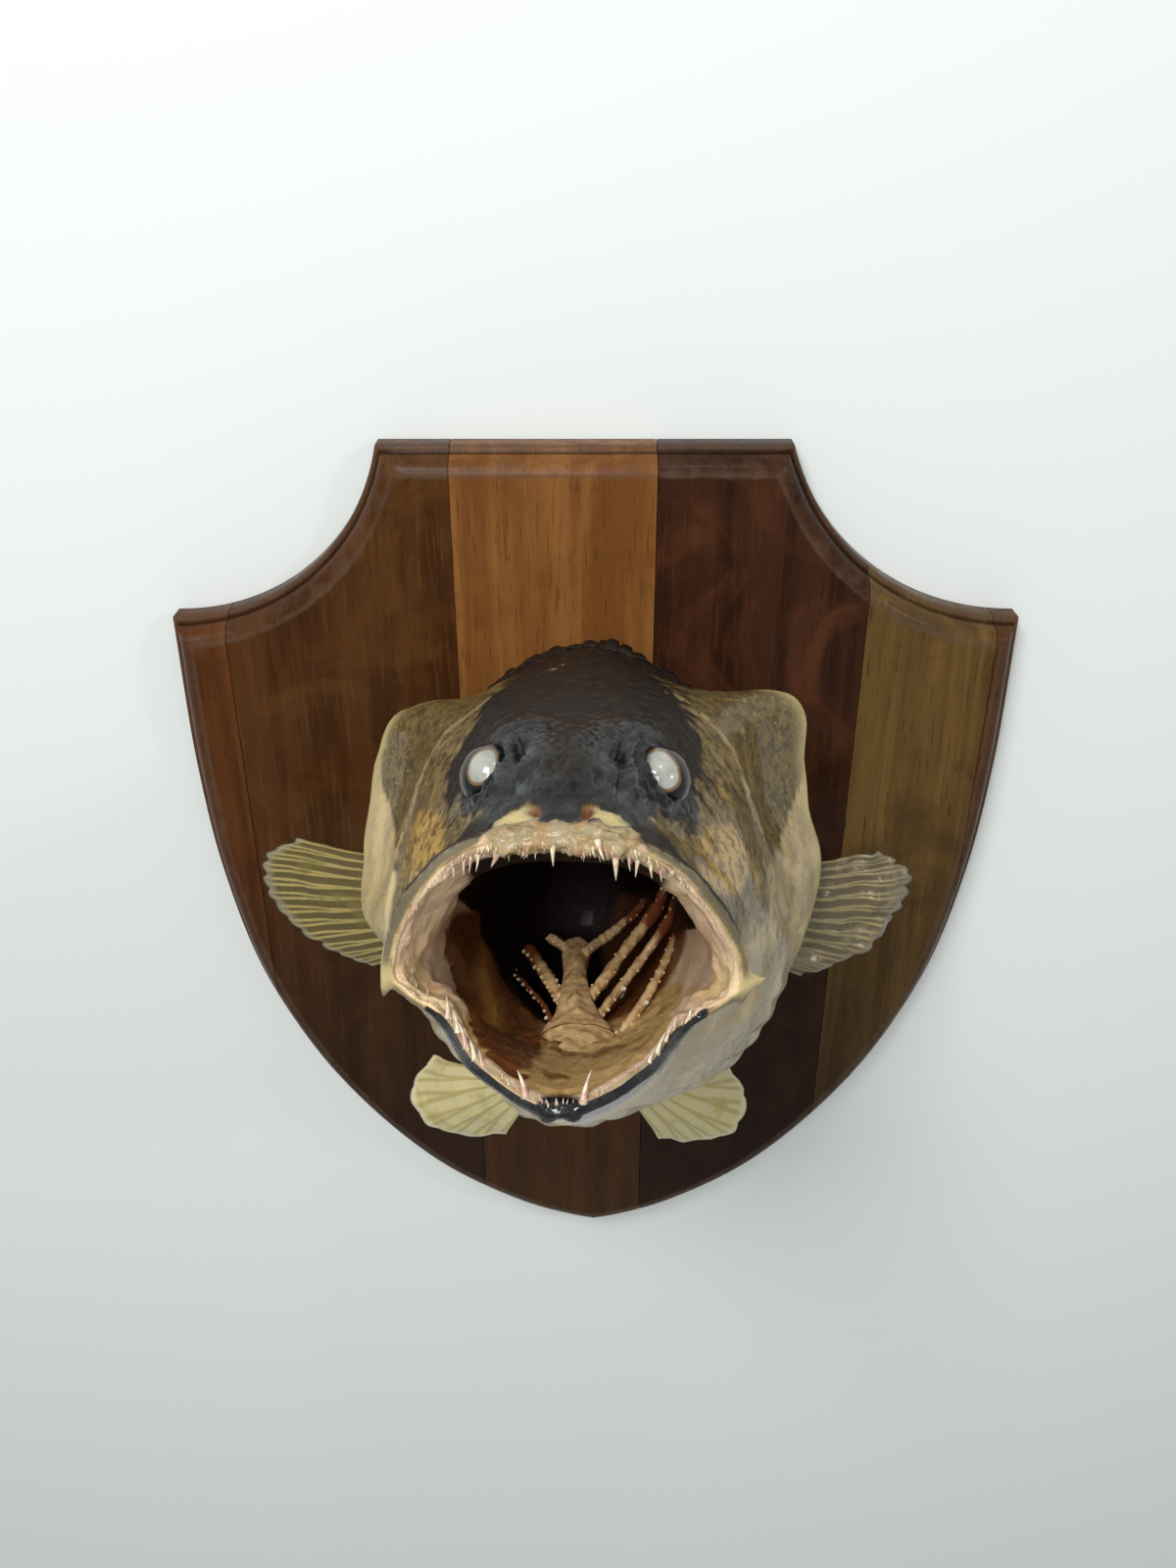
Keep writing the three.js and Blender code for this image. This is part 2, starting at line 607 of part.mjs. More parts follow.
function hangerStrip() {
  const [length, height] = HANGER_SIZE;
  const shape = new THREE.Shape();
  shape.moveTo(-length / 2, -height / 2);
  const toothed = length * HANGER_TEETH_SHARE;
  const pitch = toothed / HANGER_TEETH;
  for (let i = 0; i < HANGER_TEETH; i++) {
    const x = -toothed / 2 + i * pitch;
    shape.lineTo(x, -height / 2);
    shape.lineTo(x + pitch / 2, -height / 2 + HANGER_NOTCH);
  }
  shape.lineTo(toothed / 2, -height / 2);
  shape.lineTo(length / 2, -height / 2);
  shape.lineTo(length / 2, height / 2);
  shape.lineTo(-length / 2, height / 2);
  const geometry = new THREE.ExtrudeGeometry(shape, { depth: HANGER_SHEET, bevelEnabled: false });
  geometry.rotateX(Math.PI / 2);
  geometry.translate(0, -(HANGER_DEPTH - GAP - HANGER_SHEET), HANGER_HEIGHT);
  return solidOf(geometry);
}

function hangerNail(side) {
  const geometry = new THREE.CylinderGeometry(NAIL_RADIUS * 0.8, NAIL_RADIUS, NAIL_HEIGHT, 8);
  const outerFace = HANGER_DEPTH - HANGER_SHEET - 2 * GAP - NAIL_HEIGHT / 2;
  geometry.translate(side * HANGER_SIZE[0] * 0.4, -outerFace, HANGER_HEIGHT + 1);
  return solidOf(geometry);
}

// ---------------------------------------------------------------- the whole piece

const paint = (color, roughness, metalness = 0) => ({ color, roughness, metalness });
const DARK_HEAD = paint(0x231c19, 0.3);
const OLIVE_SKIN = paint(0x6f6136, 0.35);
const CREAM_SKIN = paint(0xb2a27a, 0.4);
const HORN = paint(0x8c7a52, 0.3);
const LINING = paint(0x7a4f38, 0.45);
const EYE = paint(0xd8d6cf, 0.15);
const FIN = paint(0x80773f, 0.4);
const PELVIC_FIN_PAINT = paint(0xb7b06a, 0.4);
const STAVE_COLORS = [0x4a2c1d, 0x3a2318, 0x57351f, 0x2c1a16, 0x5e452a, 0x4b2d20];
const STEEL = paint(0x8d8d8b, 0.35, 1);

function mesh(name, solid, finish) {
  const piece = new THREE.Mesh(geometryOf(solid), new THREE.MeshStandardMaterial(finish));
  piece.name = name;
  return piece;
}

const inUpperHead = inCell('upperHead');
const rootedFin = (shape, side, stretch) => mainBody(fin(shape, side, stretch).subtract(trunkClearance));

const fish = new THREE.Group();
fish.add(mesh('trunk', mainBody(rear.intersect(sleeve(-CUT))), CREAM_SKIN));
fish.add(mesh('throat', mainBody(inCell('throat')), CREAM_SKIN));
fish.add(mesh('lower_jaw', mainBody(inCell('lowerJaw').add(teeth(LOWER_TEETH, 1))), HORN));
fish.add(mesh('upper_jaw', mainBody(inCell('upperJaw').add(teeth(UPPER_TEETH, -1))), HORN));
fish.add(mesh('tongue_and_gill_arches', tongueAndArches(), LINING));
let skull = inUpperHead;
for (const [side, label] of [[1, 'left'], [-1, 'right']]) {
  const stretch = side > 0 ? LEFT_STRETCH : RIGHT_STRETCH;
  skull = skull.subtract(cheekCell(side, -CUT)).subtract(eyeBall(side, EYE_RADIUS + GAP));
  fish.add(mesh(`cheek_${label}`, mainBody(inUpperHead.intersect(cheekCell(side, CUT))), OLIVE_SKIN));
  fish.add(mesh(`gill_cover_${label}`, gillCover(side), OLIVE_SKIN));
  fish.add(mesh(`eye_${label}`, eyeBall(side, EYE_RADIUS), EYE));
  fish.add(mesh(`pectoral_fin_${label}`, rootedFin(PECTORAL_FIN, side, stretch.pectoral), FIN));
  fish.add(mesh(`pelvic_fin_${label}`, rootedFin(PELVIC_FIN, side, stretch.pelvic), PELVIC_FIN_PAINT));
}
fish.add(mesh('skull', mainBody(skull), DARK_HEAD));
fish.position.copy(FISH_AXIS);
fish.rotation.set(-FISH_TILT * Math.PI / 180, 0, FISH_YAW * Math.PI / 180, 'ZXY');

const trophy = new THREE.Group();
trophy.add(fish);
staves().forEach((stave, i) => trophy.add(mesh(`stave_${i + 1}`, stave, paint(STAVE_COLORS[i], 0.35))));
trophy.add(mesh('hanger_strip', hangerStrip(), STEEL));
trophy.add(mesh('hanger_nail_left', hangerNail(1), STEEL));
trophy.add(mesh('hanger_nail_right', hangerNail(-1), STEEL));

export default trophy;
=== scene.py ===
"""Looks of a mounted zander head on a shield board of glued staves.

Local places on the fish are (x, s, h) in millimetres: x to the side, s forward from the board
along the body, h towards the back. Everything that leaves a method is in metres in the frame.
"""
import logging
import math
from dataclasses import dataclass, field
from enum import Enum, StrEnum
from typing import Any, Sequence

import bmesh
import bpy
import numpy as np
from mathutils import Matrix, Vector, noise


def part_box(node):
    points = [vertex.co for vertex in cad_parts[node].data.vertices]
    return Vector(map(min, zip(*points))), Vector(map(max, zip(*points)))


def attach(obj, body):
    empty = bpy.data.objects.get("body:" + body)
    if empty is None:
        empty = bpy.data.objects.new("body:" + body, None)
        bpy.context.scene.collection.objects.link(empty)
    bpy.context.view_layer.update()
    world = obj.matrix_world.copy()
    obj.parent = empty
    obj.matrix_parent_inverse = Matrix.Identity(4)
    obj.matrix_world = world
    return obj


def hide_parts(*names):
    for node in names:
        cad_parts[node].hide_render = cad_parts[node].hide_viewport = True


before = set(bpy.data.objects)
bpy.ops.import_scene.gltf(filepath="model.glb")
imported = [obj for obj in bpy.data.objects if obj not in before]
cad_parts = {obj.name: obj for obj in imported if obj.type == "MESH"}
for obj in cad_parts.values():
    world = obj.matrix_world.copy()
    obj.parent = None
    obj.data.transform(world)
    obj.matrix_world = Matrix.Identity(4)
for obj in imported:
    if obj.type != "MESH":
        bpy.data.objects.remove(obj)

logging.basicConfig(level=logging.INFO, format="%(relativeCreated)7d ms  %(message)s")
log = logging.getLogger("trophy")

MM = 0.001
TOUCHING = 1e-7  # metres; points nearer than this are one
Array = np.ndarray
BMesh = bmesh.types.BMesh
Mesh = bpy.types.Mesh
Material = bpy.types.Material
Piece = bpy.types.Object
Place = tuple[float, float, float]
Colour = tuple[float, float, float]


class Side(Enum):
    """The fish's own sides, with the sign of their local x."""

    LEFT = 1
    RIGHT = -1

    @property
    def label(self) -> str:
        """The side's name as the nodes spell it."""
        return self.name.lower()

    def pick(self, left: Any, right: Any) -> Any:
        """The one of two values that is for this side."""
        return left if self is Side.LEFT else right


# -- numbers


def smooth(value: Array | float, low: float, high: float) -> Array:
    """Blends from 0 to 1 while a value goes from low to high."""
    t = np.clip((np.asarray(value, float) - low) / (high - low), 0.0, 1.0)
    return t * t * (3.0 - 2.0 * t)


def hump(value: Array | float, middle: float, half_width: float) -> Array:
    """A bell of height 1 round a middle, near zero two half widths away."""
    return np.exp(-(((np.asarray(value, float) - middle) / half_width) ** 2))


def span(value: Array, start: float, full: float, ebb: float, end: float) -> Array:
    """Blends from 0 up to 1 while a value goes through two bounds, and down again through two more."""
    return smooth(value, start, full) * (1 - smooth(value, ebb, end))


def cloudiness(points: Array, size: float, octaves: int = 3, seed: float = 0.0) -> Array:
    """Smooth random values between about -1 and 1.

    Args:
        points: places, one a row, in millimetres.
        size: size of the largest clouds in millimetres.
        octaves: how many finer layers are added.
        seed: moves the pattern, so that two patterns differ.

    Returns:
        One value for each place.
    """
    shifted = points / size + seed
    return np.array([noise.fractal(Vector(p), 0.9, 2.1, octaves) for p in shifted])


def spline(points: Array, closed: bool, at: Array) -> Array:
    """Centripetal Catmull-Rom curves through control points.

    Args:
        points: control points in the first axis, any number of curves between, xyz last.
        closed: whether each curve runs back to its first point.
        at: places along the curves, counted in control points.

    Returns:
        The points of every curve at these places, in the first axis.
    """
    points = np.asarray(points, float)
    count = len(points)
    at = np.asarray(at, float)
    if closed:
        knots = np.concatenate([points[-1:], points, points[:2]])
        start = np.floor(at).astype(int) % count
        weight = at - np.floor(at)
    else:
        first = 2 * points[:1] - points[1:2]
        last = 2 * points[-1:] - points[-2:-1]
        knots = np.concatenate([first, points, last])
        start = np.clip(np.floor(at).astype(int), 0, count - 2)
        weight = at - start
    p0, p1, p2, p3 = (knots[start + i] for i in range(4))
    gaps = [np.sum((b - a) ** 2, axis=-1, keepdims=True) ** 0.25
            for a, b in ((p0, p1), (p1, p2), (p2, p3))]
    d1 = np.where(gaps[1] < 1e-4, 1.0, gaps[1])
    d0 = np.where(gaps[0] < 1e-4, d1, gaps[0])
    d2 = np.where(gaps[2] < 1e-4, d1, gaps[2])
    m1 = ((p1 - p0) / d0 - (p2 - p0) / (d0 + d1) + (p2 - p1) / d1) * d1
    m2 = ((p2 - p1) / d1 - (p3 - p1) / (d1 + d2) + (p3 - p2) / d2) * d1
    w = weight.reshape((-1,) + (1,) * (points.ndim - 1))
    return p1 + w * (m1 + w * (3 * (p2 - p1) - 2 * m1 - m2 + w * (2 * (p1 - p2) + m1 + m2)))


def curve(path: Sequence[Place] | Array, count: int, start: float = 0.0, stop: float = 0.0) -> Array:
    """A number of places along an open path, from and up to so many control points off its ends."""
    return spline(path, False, np.linspace(start, len(path) - 1 - stop, count))


def unit(vectors: Array) -> Array:
    """The same vectors with a length of 1."""
    return vectors / np.maximum(np.linalg.norm(vectors, axis=-1, keepdims=True), 1e-12)


def path_distance(points: Array, path: Sequence[Place]) -> tuple[Array, Array]:
    """Distance from places to a smooth path.

    Args:
        points: places, one a row.
        path: a few control points of the path.

    Returns:
        The distance of each place, and how far along the path it lies, from 0 to 1.
    """
    if len(path) == 1:
        return np.linalg.norm(points - np.asarray(path[0]), axis=1), np.zeros(len(points))
    pieces = 8 * (len(path) - 1)
    line = curve(path, pieces + 1)
    best = np.full(len(points), 1e9)
    along = np.zeros(len(points))
    for i in range(pieces):
        step = line[i + 1] - line[i]
        t = np.clip((points - line[i]) @ step / (step @ step), 0, 1)
        gap = np.linalg.norm(points - line[i] - t[:, None] * step, axis=1)
        nearer = gap < best
        best = np.where(nearer, gap, best)
        along = np.where(nearer, (i + t) / pieces, along)
    return best, along


def mirrored(path: Sequence[Place], side: Side) -> list[Place]:
    """A path drawn for the fish's left side, on the given side."""
    return [(side.value * x, s, h) for x, s, h in path]


# -- shader expressions


class Wire:
    """A value socket that Python arithmetic works on; each operation adds a Math node."""

    def __init__(self, shader: "Shader", socket: bpy.types.NodeSocket | None) -> None:
        """Wraps a socket of a shader's tree."""
        self.shader = shader
        self.socket = socket

    def _math(self, operation: str, *values: "Wire | float") -> "Wire":
        """Adds one Math node on these values."""
        return self.shader.node("Math", {"operation": operation}, dict(enumerate(values)))

    def __add__(self, other: "Wire | float") -> "Wire":
        """Sum."""
        return self._math("ADD", self, other)

    __radd__ = __add__

    def __sub__(self, other: "Wire | float") -> "Wire":
        """Difference."""
        return self._math("SUBTRACT", self, other)

    def __rsub__(self, other: "Wire | float") -> "Wire":
        """Difference from a number."""
        return self._math("SUBTRACT", other, self)

    def __mul__(self, other: "Wire | float") -> "Wire":
        """Product."""
        return self._math("MULTIPLY", self, other)

    __rmul__ = __mul__

    def __pow__(self, other: "Wire | float") -> "Wire":
        """Power."""
        return self._math("POWER", self, other)

    def __rpow__(self, other: "Wire | float") -> "Wire":
        """Power of a number."""
        return self._math("POWER", other, self)

    def ramp(self, low: float, high: float) -> "Wire":
        """A smooth blend from 0 to 1 between two values of this socket."""
        settings = {"interpolation_type": "SMOOTHSTEP"}
        return self.shader.node("MapRange", settings, {0: self, 1: low, 2: high, 3: 0.0, 4: 1.0})

    def ragged(self, noise: "Wire", spread: float, low: float, high: float) -> "Wire":
        """A blend from 0 to 1 whose edge wanders with a noise about 0.5."""
        return (self + (noise - 0.5) * spread).ramp(low, high)


class Shader:
    """A material under construction."""

    def __init__(self, name: str) -> None:
        """Starts an empty material of this name.

        Args:
            name: the material's name.
        """
        self.material = bpy.data.materials.new(name)
        self.material.use_nodes = True
        self.tree = self.material.node_tree
        self.tree.nodes.clear()

    def node(self, kind: str, settings: dict | None = None, inputs: dict | None = None,
             output: int | str = 0) -> Wire:
        """Adds any node.

        Args:
            kind: the node's type without its ShaderNode prefix.
            settings: properties that are set first.
            inputs: values or wires by socket name or number.
            output: which output is returned.

        Returns:
            The wire of that output.
        """
        made = self.tree.nodes.new("ShaderNode" + kind)
        for name, value in (settings or {}).items():
            setattr(made, name, value)
        for key, value in (inputs or {}).items():
            socket = made.inputs[key]
            if isinstance(value, Wire):
                self.tree.links.new(value.socket, socket)
            elif isinstance(value, tuple) and len(value) == 3 and socket.type == "RGBA":
                socket.default_value = (*value, 1.0)
            else:
                socket.default_value = value
        return Wire(self, made.outputs[output] if made.outputs else None)

    def place(self) -> Wire:
        """Object coordinates."""
        return self.node("TexCoord", output="Object")

    def clouds(self, size: float, detail: float = 3.0, roughness: float = 0.55,
               vector: Wire | None = None, distortion: float = 0.0) -> Wire:
        """Noise about 0.5 with clouds of this size in metres."""
        inputs = {"Vector": vector or self.place(), "Scale": 1.0 / size, "Detail": detail,
                  "Roughness": roughness, "Distortion": distortion}
        return self.node("TexNoise", {}, inputs)

    def mark(self, name: str) -> Wire:
        """A value that the piece's mesh carries at its points."""
        return self.node("Attribute", {"attribute_name": name}, output="Fac")

    def mix(self, share: Wire | float, low: Wire | Colour, high: Wire | Colour) -> Wire:
        """A colour between two colours."""
        settings = {"data_type": "RGBA", "clamp_factor": True}
        return self.node("Mix", settings, {0: share, 6: low, 7: high}, output=2)

    def bump(self, height: Wire, distance: float, strength: float = 1.0) -> Wire:
        """A normal from a height, which is 1 for a rise of the distance in metres."""
        return self.node("Bump", {}, {"Height": height, "Distance": distance, "Strength": strength})

    def finish(self, **sockets: "Wire | float | tuple") -> Material:
        """Ends the material in a Principled shader with these sockets, and returns it."""
        named = {name.replace("_", " ").title().replace("Ior", "IOR"): value
                 for name, value in sockets.items()}
        return self.close(self.node("BsdfPrincipled", {}, named))

    def close(self, surface: Wire) -> Material:
        """Ends the material in this surface, and returns it."""
        self.node("OutputMaterial", {}, {"Surface": surface})
        return self.material


# -- pieces


def mesh_of(name: str, bm: BMesh) -> Mesh:
    """A mesh made from a bmesh, which is freed.

    Args:
        name: the mesh's name.
        bm: its shape, which is freed.

    Returns:
        The mesh, not yet in the scene.
    """
    mesh = bpy.data.meshes.new(name)
    bm.to_mesh(mesh)
    bm.free()
    return mesh


def placed(name: str, data: bpy.types.ID) -> Piece:
    """An object for a mesh, a lamp or a camera, in the scene.

    Args:
        name: the object's name.
        data: what it holds.

    Returns:
        The object.
    """
    item = bpy.data.objects.new(name, data)
    bpy.context.scene.collection.objects.link(item)
    return item


def new_piece(name: str, shape: BMesh | Mesh, material: Material,
              nodes: Sequence[str] = ()) -> Piece:
    """Turns a shape into a shown piece that rides on the body, and reports it.

    Args:
        name: the piece's name.
        shape: its shape in metres; a bmesh is freed.
        material: its finish.
        nodes: the frame's nodes that the piece stands for.

    Returns:
        The object, with smooth faces.
    """
    mesh = shape if isinstance(shape, Mesh) else mesh_of(name, shape)
    mesh.materials.append(material)
    mesh.shade_smooth()
    piece = placed(name, mesh)
    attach(piece, "root")
    if nodes:
        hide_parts(*nodes)
    mesh.calc_loop_triangles()
    log.info("%-24s %7d triangles, %5.1f x %5.1f x %5.1f mm", piece.name, len(mesh.loop_triangles),
             *(1000 * d for d in piece.dimensions))
    return piece


def repeated(name: str, template: BMesh, count: int) -> tuple[Mesh, Array]:
    """Repeats a small shape with an Array modifier and joins the copies.

    Args:
        name: name of the mesh.
        template: the shape that is repeated, which is freed.
        count: how many copies there are.

    Returns:
        The joined mesh, copy after copy, and the places of one copy's points.
    """
    mesh = mesh_of(name + "_one", template)
    one = np.empty(3 * len(mesh.vertices))
    mesh.vertices.foreach_get("co", one)
    helper = placed(name + "_one", mesh)
    array = helper.modifiers.new("array", "ARRAY")
    array.count = count
    array.use_relative_offset = False
    graph = bpy.context.evaluated_depsgraph_get()
    joined = bpy.data.meshes.new_from_object(helper.evaluated_get(graph))
    joined.name = name
    bpy.data.objects.remove(helper)
    bpy.data.meshes.remove(mesh)
    return joined, one.reshape(-1, 3)


def cut_off(bm: BMesh, place: Place, beyond: Place) -> None:
    """Cuts away what lies beyond a plane and closes the cut.

    Args:
        bm: the mesh that is cut.
        place: a place on the plane, in metres.
        beyond: the direction that is cut away.
    """
    geometry = bm.verts[:] + bm.edges[:] + bm.faces[:]
    bmesh.ops.bisect_plane(bm, geom=geometry, plane_co=place, plane_no=beyond, clear_outer=True)
    fill_holes(bm)


def fill_holes(bm: BMesh) -> None:
    """Closes every hole with one face."""
    rims = [edge for edge in bm.edges if edge.is_boundary]
    bmesh.ops.holes_fill(bm, edges=rims, sides=0)


def carry(mesh: Mesh, name: str, values: Array) -> None:
    """Gives the points of a mesh a named value each."""
    layer = mesh.attributes.new(name, "FLOAT", "POINT")
    layer.data.foreach_set("value", np.ascontiguousarray(values, float).reshape(-1))


def add_grid(bm: BMesh, places: Array, closed: bool,
             marks: dict[str, Array] | None = None) -> None:
    """Lays a grid of faces over rows of places.

    Args:
        bm: the mesh that the grid is added to.
        places: places by row and column, in metres; a closed grid leaves out the last column.
        closed: whether the last column runs on into the first; rows drawn to a point close there too.
        marks: values by row and column that the points carry.
    """
    rows, columns = places.shape[:2]
    width = columns + 1 if closed else columns
    layers = {name: bm.verts.layers.float.get(name) or bm.verts.layers.float.new(name)
              for name in marks or {}}
    made = bmesh.ops.create_grid(bm, x_segments=width - 1, y_segments=rows - 1, size=0.5)["verts"]
    index = np.arange(rows * width)
    source = (index // width) * columns + (index % width) % columns
    for vertex, place in zip(made, places.reshape(-1, 3)[source]):
        vertex.co = place
    for name, layer in layers.items():
        values = np.broadcast_to(np.asarray(marks[name], float), (rows, columns)).reshape(-1)[source]
        for vertex, value in zip(made, values):
            vertex[layer] = value
    if closed:
        ends = made[:width] + made[-width:]
        seam = made[width:-width:width] + made[2 * width - 1:-width:width]
        bmesh.ops.remove_doubles(bm, verts=ends + seam, dist=TOUCHING)


def grid_bmesh(places: Array, closed: bool, marks: dict[str, Array] | None = None) -> BMesh:
    """A new mesh of one grid; its outside is where columns x rows point.

    Args:
        places: places by row and column, in metres.
        closed: whether the last column runs on into the first.
        marks: values by row and column that the points carry.

    Returns:
        The mesh.
    """
    bm = bmesh.new()
    add_grid(bm, places, closed, marks)
    return bm


def across(paths: Array, up: Place) -> tuple[Array, Array]:
    """Unit directions across one or more paths, the first as near to a given direction as it goes.

    Args:
        paths: places, with the path in the last axis but one.
        up: the direction that the first is near to.

    Returns:
        Both directions at every place.
    """
    tangents = unit(np.gradient(paths, axis=-2))
    high = unit(np.asarray(up) - (tangents @ np.asarray(up))[..., None] * tangents)
    return high, np.cross(tangents, high)


def tube(path: Array, radii: Array, sides: int, up: Place, flat: float = 1.0) -> Array:
    """Places of a tube round a path, by row and column.

    Args:
        path: places in metres.
        radii: radius at each of them in metres; 0 closes an end.
        sides: number of columns.
        up: direction in which the section has its full radius.
        flat: width of the section across that direction, as a share of the radius.

    Returns:
        Places whose grid faces outwards.
    """
    high, wide = across(path, up)
    turn = np.arange(sides) * math.tau / sides
    rise, reach = np.cos(turn)[None, :, None], flat * np.sin(turn)[None, :, None]
    ring = rise * high[:, None] + reach * wide[:, None]
    return path[:, None] + np.asarray(radii, float)[..., None, None] * ring


def tube_array(name: str, paths: Array, radii: Array, sides: int, up: Place, flat: float = 1.0,
               ) -> tuple[Mesh, Array]:
    """Many small closed tubes as one mesh.

    Args:
        name: name of the mesh.
        paths: places in metres, by tube and row.
        radii: radius in metres by tube and row, 0 in the first and last row.
        sides: number of columns.
        up: direction in which each section has its full radius.
        flat: width of the sections across that direction, as a share of the radius.

    Returns:
        The mesh, and the row of each point of one tube.
    """
    count, rows = radii.shape
    line = np.stack([np.zeros(rows), np.zeros(rows), np.arange(rows)], 1)
    round_rows = np.ones(rows)
    round_rows[[0, -1]] = 0
    template = grid_bmesh(tube(line, round_rows, sides, (0, 1.0, 0)), True)
    mesh, one = repeated(name, template, count)
    row = np.rint(one[:, 2]).astype(int)
    high, wide = across(paths, up)
    rise, reach = radii[..., None] * high, flat * radii[..., None] * wide
    places = paths[:, row] + one[:, 1, None] * rise[:, row] - one[:, 0, None] * reach[:, row]
    mesh.vertices.foreach_set("co", places.reshape(-1))
    return mesh, row


def grid_normals(places: Array) -> Array:
    """Unit normals of a closed grid of places, by row and column, on the side of columns x rows.

    Args:
        places: places by row and column.

    Returns:
        One normal for each place.
    """
    down = np.gradient(places, axis=0)
    sideways = (np.roll(places, -1, axis=1) - np.roll(places, 1, axis=1)) / 2
    return unit(np.cross(sideways, down))


# -- where the fish is


@dataclass(frozen=True)
class Pose:
    """Where the fish's axis meets the board, and how it is turned."""

    across: float = -0.6
    up: float = 40.0
    tilt: float = 30.0
    yaw: float = -2.2

    def matrix(self) -> Matrix:
        """Takes (x, -s, h) in millimetres to the frame in metres.

        Returns:
            The matrix.
        """
        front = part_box("stave_3")[0].y
        turn = (Matrix.Rotation(math.radians(self.yaw), 4, "Z")
                @ Matrix.Rotation(-math.radians(self.tilt), 4, "X"))
        return Matrix.Translation((self.across * MM, front, self.up * MM)) @ turn @ Matrix.Scale(MM, 4)

    def world(self, places: Array) -> Array:
        """Local (x, s, h) places to metres in the frame.

        Args:
            places: local places, one a row.

        Returns:
            The same places in the frame.
        """
        matrix = np.array(self.matrix())
        flipped = np.asarray(places, float) * (1, -1, 1)
        return flipped @ matrix[:3, :3].T + matrix[:3, 3]


POSE = Pose()

# -- the skin's rings

KEYS = 12  # key points round a whole ring
KEY_ANGLES = np.radians([90, 62, 28, -8, -42, -68, -90])
GAPE_HEIGHT = -32.0  # height of the middle of the open mouth

LIP_CREST = [(0, 244, 3.5), (18, 240, 1.2), (34, 226, -8.5), (47, 201, -37),
             (31.5, 206, -46), (20, 226, -54), (0, 240, -60.5)]
SNOUT = [(0, 214, 20), (13, 212, 17.5), (25, 207, 4), (42.5, 191, -30),
         (31, 190, -49), (20.5, 205, -60.5), (0, 214, -69)]
EYE_LINE = [(0, 187, 29), (17, 187, 28.5), (29, 184, 12), (45, 176, -22),
            (38.5, 170, -53), (24, 178, -69), (0, 184, -78)]
CHEEK = [(0, 150, 43), (24, 150, 39), (41, 149, 21), (53, 148, -14),
         (50, 147, -51), (32, 145, -75), (0, 145, -85)]
OPERCLE = [(0, 112, 56), (30, 112, 48), (53, 110, 39), (66, 106, -8),
           (66, 104, -50), (45, 105, -79), (0, 116, -88)]
GILL_EDGE = [(0, 92, 62), (35, 96, 47), (72, 84, 46), (82, 73, -14),
             (66, 82, -55), (43, 92, -83), (0, 108, -90)]
CHAMBER = [(0, 90, 62.3), (35, 94, 46.6), (43, 108, 28), (47, 108, -12),
           (45, 106, -45), (33, 104, -71), (0, 104, -89.5)]
CLEITHRUM = [(0, 86, 63), (35, 87, 47.5), (46, 86, 28), (51, 84, -12),
             (49, 84, -47), (33, 92, -76), (0, 100, -90)]


def oval(s: float, half_width: float, top: float, bottom: float, lean: float = 0.0) -> list[Place]:
    """Half an oval ring at a station, leaning forwards at its top."""
    middle, half_height = (top + bottom) / 2, (top - bottom) / 2
    return [(half_width * math.cos(a), s + lean * math.sin(a), middle + half_height * math.sin(a))
            for a in KEY_ANGLES]


def lip_ring(outwards: float, back: float, lower: float | None = None) -> list[Place]:
    """The lip's crest moved away from the middle of the mouth and back into the head.

    Args:
        outwards: how far it moves from the middle of the mouth.
        back: how far it moves into the head.
        lower: how far the lower jaw's part moves outwards, if not as far as the upper jaw's.

    Returns:
        The half ring on the left side, from top to bottom.
    """
    ring = []
    for place, (x, s, h) in enumerate(LIP_CREST):
        move = outwards if lower is None or place <= 3 else lower
        grow = 1 + move / math.hypot(x, h - GAPE_HEIGHT)
        ring.append((x * grow, s - back, GAPE_HEIGHT + (h - GAPE_HEIGHT) * grow))
    return ring


def cover_lining(inwards: float, forwards: float) -> list[Place]:
    """The gill cover's edge moved inwards by a share of its distance to the gill chamber.

    Args:
        inwards: how far the edge moves inwards.
        forwards: how far it moves towards the snout.

    Returns:
        The half ring on the left side.
    """
    ring = []
    for (x, s, h), (cx, _, ch) in zip(GILL_EDGE, CHAMBER):
        free = min(1.0, math.hypot(x - cx, h - ch) / 12)
        shrink = 1 - inwards * free / max(1.0, math.hypot(x, h))
        ring.append((x * shrink, s + forwards * free, h * shrink))
    return ring


def flare(points: Array) -> Array:
    """Draws in the upper lobes of the gill covers and lets the right one stand out and hang.

    Args:
        points: local places, with x, s and h in the last axis.

    Returns:
        The moved places.
    """
    x, _, h = points[..., 0], points[..., 1], points[..., 2]
    out = smooth(abs(x), 48, 68)
    waist = 5.5 * out * smooth(h, -10, 12) * smooth(-h, -46, -24)
    spread = 1.5 * out * smooth(h, -60, -20)
    drop = 4 * out * smooth(h, 5, 42) + 4 * smooth(abs(x), 24, 42) * smooth(h, 22, 42)
    narrow = out * (4.2 * smooth(h, -34, -10) + 1.2 * smooth(h, 22, 40))
    moved = points.copy()
    moved[..., 0] += np.where(x > 0, -waist, waist / 2 - spread + narrow)
    moved[..., 2] -= np.where(x > 0, 0, drop)
    return moved


